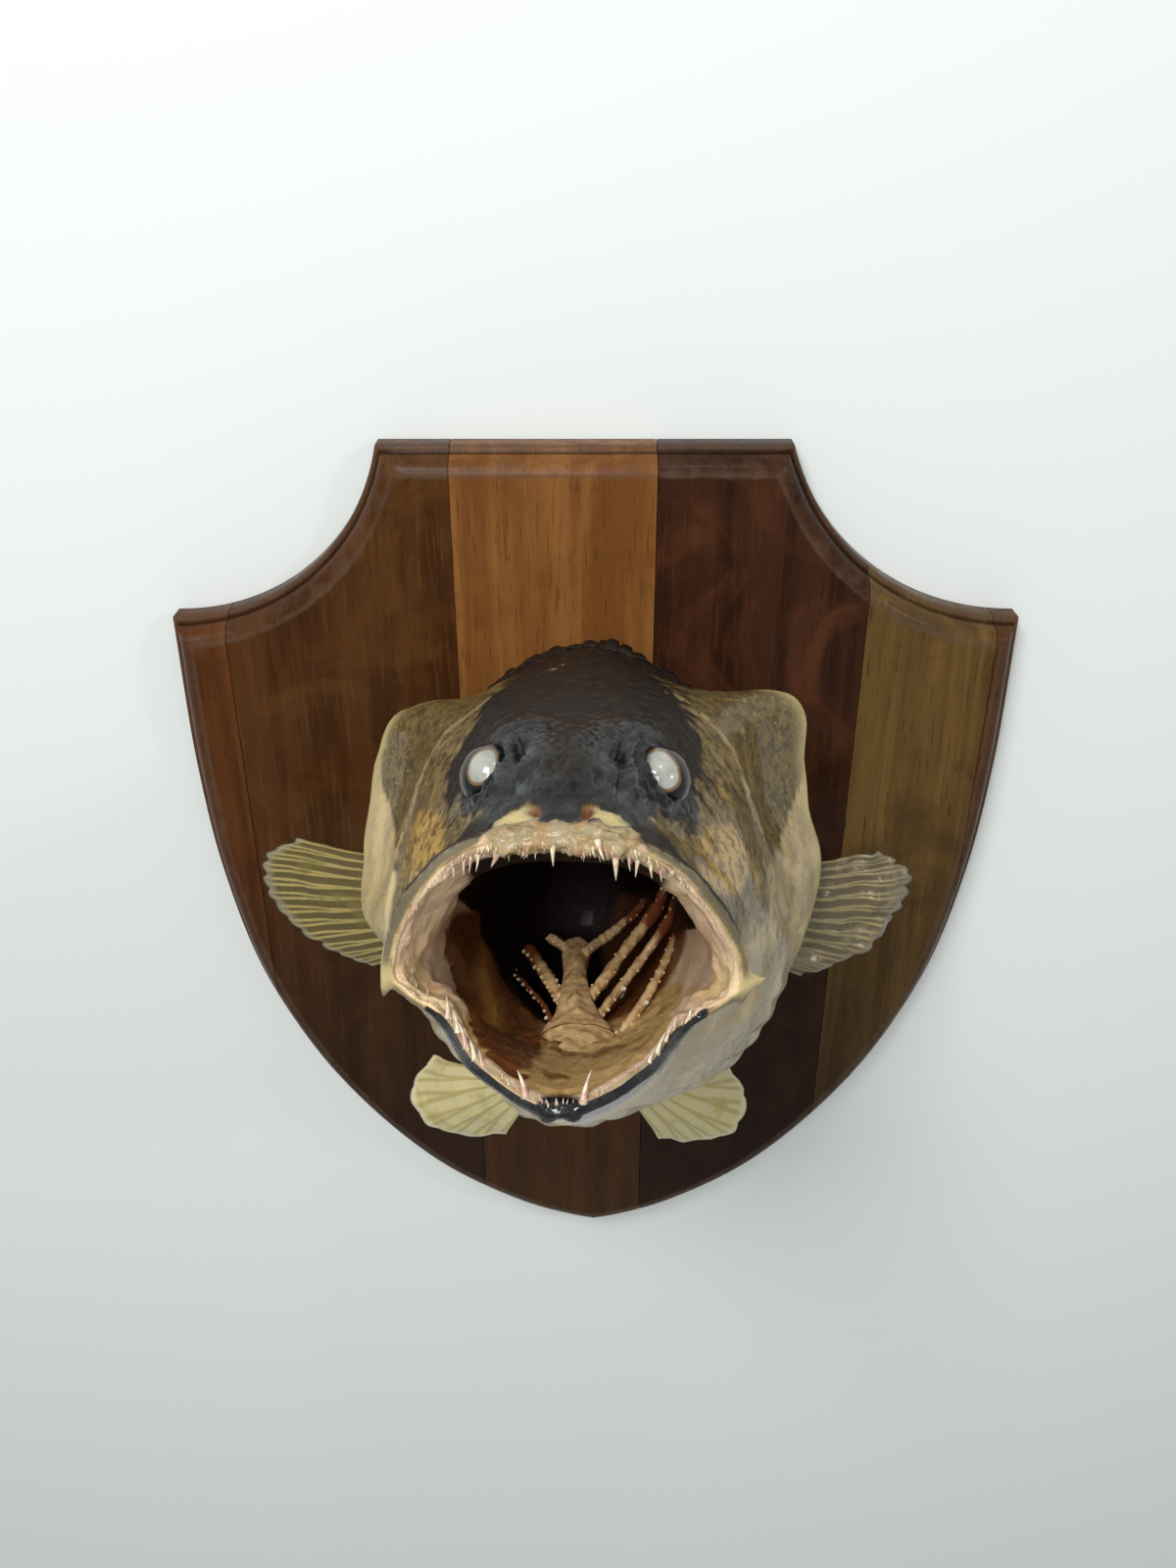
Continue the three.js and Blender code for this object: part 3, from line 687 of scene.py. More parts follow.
# Rings of the skin, from the bottom of the throat to the lip and back to the trunk, each with the
# number of rows of faces to the next one. Rows elsewhere are counted in these rings.
SKIN_RINGS: list[tuple[list[Place], int]] = [
    (oval(84, 13, -12, -42), 3),  # 0: bottom of the throat
    (oval(96, 22, -3, -54), 8),
    (oval(128, 31, 2, -58), 18),  # 2: round the gill arches
    (oval(165, 37, 1, -61, 3), 24),  # 3: round the tongue
    (lip_ring(-8.6, 18, -3.6), 16),  # 4: palate
    (lip_ring(-5.4, 5, -2.8), 10),  # 5: gum
    (lip_ring(-3.7, 0.9, -1.8), 4),
    (lip_ring(-2.5, 0, -0.6), 4),  # 7: crest of the lip
    (lip_ring(-1.0, 0.6, 1.0), 5),
    (lip_ring(0.1, 2.8, 2.0), 9),
    (lip_ring(0.7, 9, 2.6), 22),  # 10: groove behind the lip
    (SNOUT, 38),
    (EYE_LINE, 46),  # 12
    (CHEEK, 44),
    (OPERCLE, 36),  # 14
    (GILL_EDGE, 6),  # 15: edge of the gill cover
    (cover_lining(3, 1), 14),
    (cover_lining(16, 14), 8),
    (CHAMBER, 12),  # 18: gill chamber
    (CLEITHRUM, 28),
    (oval(50, 53, 65, -95), 24),  # 20: trunk
    (oval(0, 54, 71, -98), 22),  # 21: at the board
    (oval(-75, 54, 74, -100), 1),
]


@dataclass
class SkinForm:
    """The bare form of the skin, before folds and markings, as rows and columns of places."""

    columns: int = 240
    places: Array = field(init=False)
    rows: Array = field(init=False)
    keys: Array = field(init=False)

    def __post_init__(self) -> None:
        """Lays the columns round each ring and the rows through the rings."""
        steps = [count for _, count in SKIN_RINGS]
        parts = [ring + np.arange(count) / count for ring, count in enumerate(steps[:-1])]
        self.rows = np.concatenate([*parts, [len(steps) - 1.0]])
        self.keys = np.arange(self.columns) * KEYS / self.columns
        self.places = self.at(self.rows, self.keys)

    @staticmethod
    def at(rows: Array, keys: Array) -> Array:
        """Places of the bare form.

        Args:
            rows: places lengthways, counted in rings.
            keys: places round the ring, counted in key points from the top towards the left side.

        Returns:
            Local places by row and column.
        """
        rounds = []
        for half, _ in SKIN_RINGS:
            other = [(-x, s, h) for x, s, h in half[-2:0:-1]]
            rounds.append(flare(spline(np.array([*half, *other], float), True, keys)))
        return spline(np.array(rounds), False, rows)
# -- the skin's folds and markings


class Mark(StrEnum):
    """Markings that the skin and the scales carry at their points."""

    INSIDE = "inside"        # lining of the mouth
    OLIVE = "olive"          # gill covers, cheeks and flanks
    GOLD = "gold"            # cheek patches, the pads behind the lip, the streak inside the jaw
    DARK = "dark"            # brown-black nape and forehead
    SLATE = "slate"          # blue-black varnished mask and jaw
    GREY = "grey"            # translucent rims of the lips
    GUM = "gum"              # cream plates that the teeth stand in
    AMBER = "amber"          # red-brown: the holes behind the lip, and painted shade on the mouth's wall that lies in shadow, under the tongue and deep in the throat
    DEEP = "deep"            # painted shade: black in the depths of the mouth and under the palate
    PALE = "pale"            # cream rims of the gill covers and folds at the mouth's corners
    TAN = "tan"              # floor of the mouth; outside, painted shade on the underside of the throat
    DUSTY = "dusty"          # painted reflection of the pale wall: blue-grey sheen in the mask's hollows and a highlight along its ridges


@dataclass
class Skin:
    """One closed skin over the whole head, from the gullet over the lips to the board."""

    form: SkinForm
    name: str = "fish_skin"
    socket: Place = (23.0, 193.5, 17.0)
    cover_notch: float = 3.0  # depth of the bays in the gill covers' edges
    ray_height: float = 0.45  # rise of the rays under the throat

    def __post_init__(self) -> None:
        """Prepares the points, shapes and marks them."""
        rows, columns = self.form.places.shape[:2]
        self.shape = (rows, columns)
        self.points = self.form.places.reshape(-1, 3).copy()
        self.row = np.repeat(self.form.rows, columns)
        self.key = np.tile(self.form.keys, rows)
        self.top = np.cos(self.key * math.tau / KEYS)
        self.outer = smooth(self.row, 7.6, 8.4)
        self.settle()
        self.x, self.s, self.h = self.points.T.copy()
        self.middle = smooth(self.top, 0.80, 0.93)
        self.inner = 1 - smooth(self.row - 2.9 * self.middle, 6.6, 7.4)
        self.head = self.outer * (1 - smooth(self.row, 14.9, 15.1))
        self.lift = np.zeros(len(self.points))
        self.marks = {mark: np.zeros(len(self.points)) for mark in Mark}
        self.fine = cloudiness(self.points, 4.0, 2, 3.0)
        self.broad = cloudiness(self.points, 13.0, 3, 11.0)
        base_normals = self.normals()
        for step in (self.shape_lips, self.shape_snout, self.shape_eyes, self.shape_cheeks,
                     self.shape_gill_covers, self.shape_throat, self.shape_lower_jaw, self.mark_back,
                     self.shape_gums, self.shape_membranes, self.mark_lining):
            step()
        self.points += base_normals * self.lift[:, None]
        self.outwards = self.normals().reshape(*self.shape, 3)

    # - tools

    def key_gap(self, key: float) -> Array:
        """Distance round the ring to a key, whichever way is shorter."""
        return np.abs((self.key - key + KEYS / 2) % KEYS - KEYS / 2)

    def around(self, key: float, half_width: float) -> Array:
        """A bell round one key of the ring."""
        return hump(self.key_gap(key), 0, half_width)

    def ring_clouds(self, per_key: float, per_ring: float, octaves: int, seed: float = 0.0) -> Array:
        """Cloudiness that runs with the rings: so many clouds from key to key and from ring to ring."""
        places = np.stack([self.key * per_key, self.row * per_ring, 0 * self.key], axis=1)
        return cloudiness(places, 1.0, octaves, seed)

    def raise_along(self, path: Sequence[Place], width: float, height: float,
                    where: Array | float = 1.0) -> None:
        """Raises or sinks the skin along a path.

        Args:
            path: control points of the path.
            width: half width of the fold.
            height: its rise, negative for a furrow.
            where: share of the fold that each point takes.
        """
        gap, along = path_distance(self.points, path)
        ends = smooth(np.minimum(along, 1 - along), 0, 0.18) if len(path) > 1 else 1.0
        self.lift += height * hump(gap, 0, width) * ends * where

    def paint(self, mark: Mark, amount: Array) -> None:
        """Lays a marking over what is there."""
        self.marks[mark] = np.maximum(self.marks[mark], np.clip(amount, 0, 1))

    def fold(self, side: Side, path: Sequence[Place], width: float, height: float, where: Array) -> None:
        """Raises or sinks the skin along a path drawn for the left side, on the given side."""
        self.raise_along(mirrored(path, side), width, height, where)

    def near(self, place: Place, radius: float) -> Array:
        """A bell round a place."""
        return hump(np.linalg.norm(self.points - np.asarray(place), axis=1), 0, radius)

    def from_front(self, path: Sequence[tuple[float, float]]) -> tuple[Array, Array]:
        """Distance to a path of (x, h) places, seen along the fish, and the place along it."""
        return path_distance(self.points * (1, 0, 1), [(x, 0, h) for x, h in path])

    def patch(self, middle: tuple[float, float], size: tuple[float, float]) -> Array:
        """A flat-topped oval patch round an (x, h) place, seen along the fish."""
        reach = ((self.x - middle[0]) / size[0]) ** 2 + ((self.h - middle[1]) / size[1]) ** 2
        return np.exp(-reach ** 2)

    def sample(self, values: Array, rows: Array, keys: Array) -> Array:
        """Values of the points read between them, at places in rows and keys.

        Args:
            values: one value or place for each point.
            rows: places lengthways, counted in rings.
            keys: places round the ring, counted in keys.

        Returns:
            The values, one row a place.
        """
        table = values.reshape(*self.shape, -1)
        i = np.interp(rows, self.form.rows, np.arange(self.shape[0]))
        j = (np.asarray(keys, float) % KEYS) * self.shape[1] / KEYS
        low, left = np.clip(i.astype(int), 0, self.shape[0] - 2), j.astype(int) % self.shape[1]
        right = (left + 1) % self.shape[1]
        a, b = (i - low)[:, None], (j - np.floor(j))[:, None]
        return ((1 - a) * ((1 - b) * table[low, left] + b * table[low, right])
                + a * ((1 - b) * table[low + 1, left] + b * table[low + 1, right]))

    def at(self, rows: Array, keys: Array) -> Array:
        """Places on the finished skin."""
        return self.sample(self.points, rows, keys)

    def mark_at(self, mark: Mark, rows: Array, keys: Array) -> Array:
        """Strength of a marking at places on the skin."""
        return self.sample(self.marks[mark], rows, keys)[:, 0]

    def spot(self, row: float, key: float) -> tuple[Array, Array]:
        """A place on the finished skin and its normal."""
        rows, keys = np.array([row]), np.array([key])
        return self.at(rows, keys)[0], self.sample(self.outwards, rows, keys)[0]

    # - outside

    def settle(self) -> None:
        """Takes up the lean of the dried head: the throat drawn in on the right, the left lip flatter."""
        x, s, h = self.points.T.copy()
        behind = span(self.row, 10.6, 12.0, 18.5, 19.5)
        self.points[:, 0] += 9.0 * behind * smooth(-x, 12, 36) * smooth(-h, 30, 52) * smooth(s, 55, 90)
        lip = span(self.row, 3.6, 4.6, 10.5, 11.5)
        self.points[:, 0] -= 1.6 * lip * smooth(x, 12, 34)
        self.points[:, 2] -= 1.2 * lip * smooth(x, 8, 24) * smooth(h, -30, -12)

    def shape_lips(self) -> None:
        """The rolled lip, the groove behind it and the hooked ends of the upper jaw's bones."""
        upper = smooth(self.top, -0.1, 0.35)
        groove = hump(self.row, 10.25, 0.4)
        self.lift -= 1.2 * groove * upper
        self.lift += 0.5 * hump(self.row, 9.4, 0.5) * upper
        lines = self.ring_clouds(1.2, 3.2, 2)
        creases = self.ring_clouds(9, 0.6, 3)
        self.lift += (0.22 * creases + 0.30 * lines) * hump(self.row, 8.5, 1.3)
        grey = hump(self.row, 8.0, 0.75) * (1 - 0.9 * self.middle)
        self.paint(Mark.GREY, grey * (0.95 + 0.4 * self.broad))
        self.paint(Mark.OLIVE, 0.7 * hump(self.row, 9.9, 0.9) * upper)
        rim = hump(self.row, 7.15, 0.22) * (0.75 + 0.7 * self.fine) * (1 - self.middle)
        self.paint(Mark.GOLD, rim * 0.8)
        self.paint(Mark.DARK, 0.9 * groove * upper)
        for side in Side:
            self.shape_maxilla(side)

    def shape_maxilla(self, side: Side) -> None:
        """The flat bone that ends the upper jaw at the corner of the mouth, with its hook.

        Args:
            side: which side of the fish.
        """
        bone = [(36, 221, -10), (43, 212, -20), (48, 203, -32), (47.5, 199, -38)]
        self.fold(side, bone, 2.4, 1.0, self.outer)
        tip = self.near(side.pick((46.3, 200.0, -37.0), (-48.0, 200.0, -37.5)), 2.6) ** 1.6
        self.points += tip[:, None] * np.asarray(side.pick((7.5, -1.5, 2.2), (-1.6, -1.0, -8.5)))
        if side is Side.LEFT:
            spur = self.near((45.0, 200.0, -40.0), 1.8)
            self.points += spur[:, None] * np.asarray((0.5, -1.0, -5.5))
        self.paint(Mark.PALE, 0.9 * self.near((side.value * 48, 201, -36), 6))

    def shape_snout(self) -> None:
        """The dark, wrinkled mask between and before the eyes, with its ridges, hollows and nostrils."""
        zone = self.outer * smooth(self.h, 2, 9) * smooth(self.s, 176, 190)
        self.raise_along([(1, 186, 28), (1.5, 204, 23), (1.5, 219, 17), (-0.5, 229, 11)], 4.2, 1.7, zone)
        self.raise_along([(-7, 228, 10.5), (0, 232, 9.5), (7, 228, 10.5)], 2.0, 1.0, zone)
        for side in Side:
            self.lift -= 3.2 * self.near(side.pick((12.6, 203, 21), (-15.4, 199.5, 20.5)), 5.2) * zone
            self.lift -= 1.3 * self.near((side.value * 9.5, 217, 14.5), 3.6) * zone
            self.shape_brow(side, zone)
            for s, h in ((213, 15.6), (207.5, 18)):
                self.lift -= 2.2 * self.near((side.value * 8.6, s, h), 1.15)
                self.raise_along([(side.value * 8.6, s, h)], 2.3, 0.5)
            self.shape_pad(side)
        wrinkles = cloudiness(self.points * (1.0, 0.5, 1.0), 3.6, 4, 21.0)
        self.lift += 1.15 * (0.4 - 1.6 * np.abs(wrinkles)) * zone
        fans = cloudiness(self.points * (0.5, 1.3, 1.0), 3.0, 3, 27.0)
        self.lift += 0.65 * (0.3 - 1.4 * np.abs(fans)) * zone * smooth(np.abs(self.x), 2, 12)

    def shape_brow(self, side: Side, zone: Array) -> None:
        """The thin upright ridge inwards of the eye, with a furrow and hollows beside it; a painted
        highlight runs along the ridge and a blue-grey painted sheen lies in the hollows.

        Args:
            side: which side of the fish.
            zone: how much each point belongs to the mask.
        """
        foot, hollows = side.pick(
            (15.6, [((10.5, 20.0), (4.2, 3.4)), ((13.2, 12.5), (2.8, 2.4))]),
            (-17.2, [((-12.6, 21.6), (3.8, 3.0)), ((-12.0, 12.5), (3.0, 2.0))]))
        leans = ((-0.6 * side.value, 28), (0, 22), (0, 16), (0.9 * side.value, 10))
        gap, along = self.from_front([(foot + lean, h) for lean, h in leans])
        before = self.outer * smooth(self.s, 178, 186) * smooth(np.minimum(along, 1 - along), 0, 0.15)
        inwards = side.value * (foot - self.x)
        self.lift += 2.0 * hump(gap, 0, 0.75) * before
        self.lift -= 1.6 * hump(inwards, 2.3, 1.2) * hump(gap, 2.3, 1.6) * before
        # painted highlight along the ridge
        self.paint(Mark.DUSTY, 0.8 * hump(gap, 0, 0.5) * before)
        for middle, size in hollows:
            patch = self.patch(middle, size)
            self.lift -= 0.9 * patch * zone
            # blue-grey painted sheen in the hollow
            self.paint(Mark.DUSTY, patch * (0.75 + 0.9 * self.fine) * zone)

    def shape_pad(self, side: Side) -> None:
        """The yellowish pad behind the upper lip, with a red-brown hole at its inner end.

        Args:
            side: which side of the fish.
        """
        front = self.outer * smooth(self.s, 205, 215)
        pad = ((7.4, 6.4), (11.3, 5.6), (15.0, 3.4))
        gap, along = self.from_front([(side.value * x - 0.9, h) for x, h in pad])
        self.lift += 1.3 * hump(gap, 0, 1.6) * front
        self.paint(Mark.PALE, 1.6 * hump(gap, 0, 1.9 - 0.7 * along) * front)
        gap, _ = self.from_front([(side.value * 6.4 - 1.1, 7.2)])
        self.lift -= 2.0 * hump(gap, 0, 1.3) * front
        self.paint(Mark.AMBER, 1.5 * hump(gap, 0, 1.5) * front)

    def shape_eyes(self) -> None:
        """Sockets sunk round the eyeballs, with a raised rim and a ring of folds."""
        rings = ((8.3, 1.0, 1.1), (10.7, 1.2, -0.9), (13.0, 1.0, 0.55), (15.0, 0.9, -0.5))
        for side in Side:
            centre = np.asarray(self.socket) * (side.value, 1, 1)
            gap = np.linalg.norm((self.points - centre) * (1.12, 0.9, 0.9), axis=1)
            near = self.outer * smooth(side.value * self.x, 12, 15)
            self.lift -= 5.0 * (1 - smooth(gap, 5.6, 7.4)) * near
            for distance, width, rise in rings:
                self.lift += rise * hump(gap, distance, width) * near
            self.paint(Mark.SLATE, (1 - smooth(gap, 9, 15)) * near)
            self.lift -= 1.0 * hump(gap, 17, 1.8) * near * smooth(-self.h, -16, -2)

    def shape_cheeks(self) -> None:
        """Folds between the eye, the jaw and the gill cover, and the gold patches."""
        edge = [(39, 139, 25), (47, 133, 16), (54, 128, 0), (58, 126, -16),
                (57, 131, -36), (48, 148, -54), (41, 165, -53)]
        folds = [(edge, 2.3, 1.5),
                 ([(36, 150, 26), (45, 144, 12), (51, 140, -6), (51, 145, -28), (44, 160, -42)], 1.6, -0.9),
                 ([(31, 178, 4), (40, 163, 1), (47, 150, 1)], 1.6, 0.8),
                 ([(33, 190, -6), (41, 175, -12), (46, 165, -22), (46, 170, -36)], 1.6, -1.1)]
        self.paint(Mark.OLIVE, 0.75 * smooth(self.s, 126, 140) * smooth(self.h, -40, -18) * self.head)
        cheek = span(self.row, 10.1, 10.6, 13.3, 13.8)
        rich = 1.05
        for side in Side:
            for path, width, rise in folds:
                self.fold(side, path, width, rise, self.head)
            gap, along = path_distance(self.points, mirrored(edge, side))
            patch = self.near((side.value * 43, 171, -12), 11)
            patch = patch + 0.9 * self.near((side.value * 51, 149, -13), 11)
            patch = patch + 0.7 * self.near((side.value * 43, 158, 12), 8)
            self.paint(Mark.GOLD, 0.6 * rich * patch * (0.95 + 0.7 * self.fine) * self.head)
            patch = self.patch(*side.pick(((41.0, -6.0), (9.5, 10.5)), ((-43.0, -5.0), (9.5, 12.0))))
            self.paint(Mark.GOLD, rich * patch * (1.05 + 0.5 * self.fine) * cheek)
            self.paint(Mark.GOLD, rich * 0.7 * hump(gap, 0.8, 1.8) * smooth(self.h, -30, -10) * self.head)
            for step in range(14):
                comb = hump(along, 0.08 + step * 0.062, 0.011) * hump(gap, 2.6, 1.3)
                self.lift += 0.55 * comb * self.head

    def shape_gill_covers(self) -> None:
        """The covers' bones, rims, bays and soft edges."""
        free = span(self.row, 13.8, 14.3, 16.6, 18.0) * smooth(np.abs(self.x), 30, 46)
        bays = 0.0
        for key, width, depth in ((1.62, 0.10, 0.7), (2.55, 0.2, 0.9), (3.05, 0.10, 0.45),
                                  (3.62, 0.12, 0.55), (4.05, 0.2, 1.0), (4.6, 0.12, 0.4)):
            for middle in (key, KEYS - key - 0.07):
                bays = bays + depth * self.around(middle, width)
        ripple = self.ring_clouds(6, 0, 2, 5.0)
        edge = hump(self.row, 15.4, 0.75) * smooth(np.abs(self.x), 42, 55)
        self.points[:, 1] += edge * (self.cover_notch * bays - 1.5 * ripple - 0.6)
        bones = [([(50, 124, 32), (62, 106, 38), (71, 90, 41)], 3.0, 1.2),
                 ([(53, 124, 20), (67, 104, 20), (76, 84, 14)], 1.8, -1.0),
                 ([(58, 120, -2), (69, 100, -10), (80, 80, -16)], 2.2, 0.9),
                 ([(60, 124, -22), (68, 103, -30), (76, 80, -34)], 2.0, -1.0),
                 ([(57, 130, -44), (62, 108, -50), (64, 88, -52)], 2.0, 0.8)]
        high = smooth(self.h + 3 * self.broad, -24, -10) * smooth(-self.s, -140, -128)
        for side in Side:
            for path, width, rise in bones:
                self.fold(side, path, width, rise, self.head)
            heights, reach = side.pick(((-16, 1, 22, 46), (57, 66, 77, 75)),
                                       ((-16, 1, 14, 28, 46), (57, 66, 73, 71, 64)))
            bound = np.interp(self.h, heights, reach)
            upper = 1 - smooth(side.value * self.x + 2.5 * self.broad, bound - 3.5, bound + 1.5)
            self.paint(Mark.OLIVE, upper * high * smooth(side.value * self.x, 16, 24) * self.head)
            gilt = self.near((side.value * 52, 128, 20), 15)
            gilt = gilt + 0.5 * self.near((side.value * 64, 100, 30), 14)
            self.paint(Mark.GOLD, 0.62 * gilt * (0.8 + 0.8 * self.broad) * self.head)
        dull = np.where(self.x > 0, 0.42, 0.12)
        self.paint(Mark.OLIVE, dull * self.head * smooth(-self.s, -150, -140) * (0.8 + 0.6 * self.broad))
        self.paint(Mark.PALE, hump(self.row, 15.2, 0.62) * free * 1.1)

    def shape_throat(self) -> None:
        """Fanned rays in the membrane under the head, and painted shade on its underside."""
        under = self.outer * span(self.row, 11.2, 12.2, 14.7, 15.2)
        off_keel = self.key_gap(KEYS / 2)
        fan = smooth(2.35 - off_keel, 0, 0.3) * smooth(off_keel, 0.1, 0.35)
        rays = np.cos((off_keel + 0.04 * (14 - self.row) + 0.05 * self.broad) * math.tau / 0.29)
        self.lift += self.ray_height * rays * fan * under
        self.lift -= 1.5 * hump(off_keel, 0, 0.12) * smooth(self.row, 10.6, 11.6) * under
        # painted shade: darker on the underside of the throat, where it faces down
        throat_underside_shade = span(self.row, 10.8, 11.6, 13.6, 14.6) * smooth(-self.h, 24, 40)
        self.paint(Mark.TAN, throat_underside_shade * (0.75 + 0.6 * self.broad))

    def shape_lower_jaw(self) -> None:
        """The jaw's varnished flanks, its pores, and the knob and pit of the chin."""
        low = smooth(-self.top, 0.05, 0.4)
        self.lift -= 0.9 * hump(self.row, 9.9, 0.35) * low
        wide = span(self.row, 6.5, 6.9, 10.6, 11.6)
        narrow = span(self.row, 6.7, 7.1, 10.2, 11.0)
        flank = np.where(self.x > 2, wide, narrow) * low * (1 - smooth(np.abs(self.x), 33, 38))
        self.paint(Mark.SLATE, flank * (1.35 + 0.8 * self.broad))
        self.raise_along([(-4.5, 237, -63), (0.6, 240, -62), (5.5, 237, -63)], 2.4, 1.5, low)
        self.lift -= 2.6 * self.near((0.6, 239.5, -63.5), 2.0)
        self.paint(Mark.SLATE, 1.4 * self.near((0.6, 239.5, -62), 6.5))
        for side in Side:
            for t in (0, 1 / 3, 2 / 3, 1):
                pore = (side.value * (8 + 22 * t), 233 - 30 * t, -64 + 8 * t)
                self.lift -= 1.0 * self.near(pore, 1.5) * self.outer

    def mark_back(self) -> None:
        """The dark top of the head and nape, the olive flanks and the pale belly."""
        line = np.interp(self.s, (60, 100, 120, 135, 150, 162, 178, 196, 215, 240),
                         (34, 48, 46, 39, 30, 16, 6, 3.0, 4.0, 7.0))
        top = smooth(self.h + 5 * self.broad + 4 * self.fine, line - 6, line + 7)
        cover = smooth(np.abs(self.x), 33, 42) * (1 - smooth(self.s, 128, 140))
        self.paint(Mark.DARK, top * self.outer * (1 - cover))
        self.paint(Mark.DARK, 0.9 * hump(self.row, 9.1, 0.28) * smooth(self.top, 0.1, 0.4))
        mask = smooth(self.s, 172, 186) * smooth(self.h + 2 * self.fine + self.middle, 3, 7) * self.outer
        mask = mask * (1 - 0.7 * hump(self.x, -1.0, 5.0) * smooth(self.h, 11, 16))
        self.paint(Mark.SLATE, mask * (0.9 + 0.4 * self.broad))
        bare = np.maximum(self.marks[Mark.PALE], self.marks[Mark.AMBER])
        for mark in (Mark.SLATE, Mark.DARK):
            self.marks[mark] *= 1 - 0.95 * np.clip(bare * self.outer, 0, 1)
        bumps = cloudiness(self.points, 2.2, 2, 61.0)
        self.lift += 0.5 * bumps * self.marks[Mark.DARK] * (1 - smooth(self.s, 172, 186))
        behind = smooth(self.row, 17.5, 18.5)
        self.paint(Mark.OLIVE, smooth(self.h + 8 * self.broad, -30, 25) * behind)
        self.paint(Mark.DARK, smooth(self.h + 7 * self.broad, 34, 56) * behind)

    # - inside the mouth

    def shape_gums(self) -> None:
        """The warty plates of teeth inside the lips."""
        middle = self.middle
        upper = smooth(self.top, 0.35, 0.7)
        lower = smooth(-self.top, 0.15, 0.5)
        warts = cloudiness(self.points, 2.3, 3, 31.0)
        self.lift += (1.3 * middle + 0.35 * upper + 0.3 * lower) * hump(self.row, 5.9, 0.75)
        self.lift += 0.95 * warts * hump(self.row, 6.0, 0.9) * (0.35 * upper + 0.35 * lower) * self.inner
        shield = span(self.row, 4.9, 5.6, 9.5, 10.1) * middle
        self.lift += (1.5 * warts + 0.8 * self.fine) * shield
        self.paint(Mark.GUM, 1.2 * shield)
        self.paint(Mark.GUM, hump(self.row, 6.3, 0.6) * np.maximum(0.9 * upper, 0.8 * lower))
        self.lift -= 0.8 * hump(self.row, 6.85, 0.22) * upper * (1 - 0.8 * middle)

    def shape_membranes(self) -> None:
        """Pale folds that hang at the sides of the mouth, the tongue's fold and the creased floor."""
        sides = 1 - smooth(np.abs(self.top), 0.55, 0.8)
        creases = self.ring_clouds(2.6, 1.1, 3, 17.0)
        self.lift += 1.5 * creases * self.inner * sides * smooth(self.row, 3.2, 4.2)
        folds = ([(31, 188, -14), (34, 180, -26), (32, 178, -40)],
                 [(38, 200, -22), (38, 192, -32), (32, 190, -42)],
                 [(30, 172, -12), (34, 166, -28), (31, 168, -46)])
        for side in Side:
            for path in folds:
                self.fold(side, path, 1.6, 1.7, self.inner)
            self.paint(Mark.PALE, 0.9 * self.near((side.value * 39, 194, -38), 7) * self.inner)
            self.paint(Mark.GOLD, 0.5 * self.near((side.value * 37, 190, -41), 5) * self.inner)
        arc = [(-19, 152, -57), (-10, 158, -59.5), (1, 161, -60.5), (10, 160, -60), (19, 153, -57)]
        self.raise_along(arc, 1.6, 1.9, self.inner)
        for shift in (14, 26):
            self.raise_along([(x, s + shift, h) for x, s, h in arc[1:-1]], 2.0, 1.1, self.inner)
        floor = self.inner * smooth(-self.h, 44, 54) * span(self.row, 1.5, 2.5, 4.6, 5.2)
        self.lift += 1.0 * cloudiness(self.points * (1.0, 0.6, 1.0), 6.0, 3, 40.0) * floor

    def mark_lining(self) -> None:
        """The lining's colours: pale at the lips, tan on the floor, and red-brown and black painted shade
        in the depths, under the palate, on the wall that lies in shadow and under the tongue.
        """
        self.paint(Mark.INSIDE, self.inner)
        tan = smooth(-self.h + 3 * self.broad, 38, 50) * smooth(-self.row, -5.6, -5.1)
        self.paint(Mark.TAN, tan * self.inner)
        left = smooth(self.x, -8, 6)
        start_left = np.interp(self.h, (-62, -50, -38, -30, -24, -17, -10),
                               (98, 110, 122, 136, 165, 204, 221))
        start_right = np.interp(self.h, (-62, -50, -40, -26, -17, -10), (142, 134, 126, 134, 170, 215))
        start = left * start_left + (1 - left) * start_right
        # painted shade: the lining goes black beyond a start that differs from side to side
        depth = smooth(-self.s + 4 * self.broad, -start - 1, -start + 9)
        # painted shade, dark red-brown instead of black, deep in the throat on the fish's left
        throat = smooth(self.x, 2, 8) * smooth(-self.h, 16, 24) * smooth(-self.row, -2.5, -1.9)
        self.paint(Mark.AMBER, throat)
        self.paint(Mark.DEEP, depth * self.inner * (1 - 0.5 * throat))
        # painted shade: black under the palate, between the sides of the jaw
        palate_shade = smooth(self.h, -20, -11) * smooth(-self.row, -5.35, -4.9)
        self.paint(Mark.DEEP, palate_shade * (1 - smooth(np.abs(self.x), 20, 27)) * self.inner)
        # painted shade: red-brown on the inner wall on the fish's right, which lies in shadow
        limit = np.interp(-self.top, (-0.5, 0.2, 0.6, 1.0), (2.9, 3.0, 4.4, 5.2))
        wall = smooth(-self.x + 3 * self.fine, 5, 12) * smooth(-self.h, 18, 30)
        wall = wall * smooth(limit - self.row + 0.3 * self.fine, -0.25, 0.25)
        self.paint(Mark.AMBER, wall * self.inner)
        gap, along = self.from_front([(-30.5, -31), (-29, -42), (-24.5, -52), (-19, -59)])
        streak = hump(gap, 0, 1.3) * smooth(along, 0.02, 0.3)
        self.paint(Mark.GOLD, streak * (1 - smooth(self.row, 3.6, 4.2)))
        # painted shade: red-brown under the tongue, on the floor from the middle to the fish's left
        floor = smooth(-self.h, 42, 54) * smooth(self.x, -12, -4) * self.inner
        self.paint(Mark.AMBER, 0.55 * floor * smooth(self.broad, -0.1, 0.5))

    # - the whole

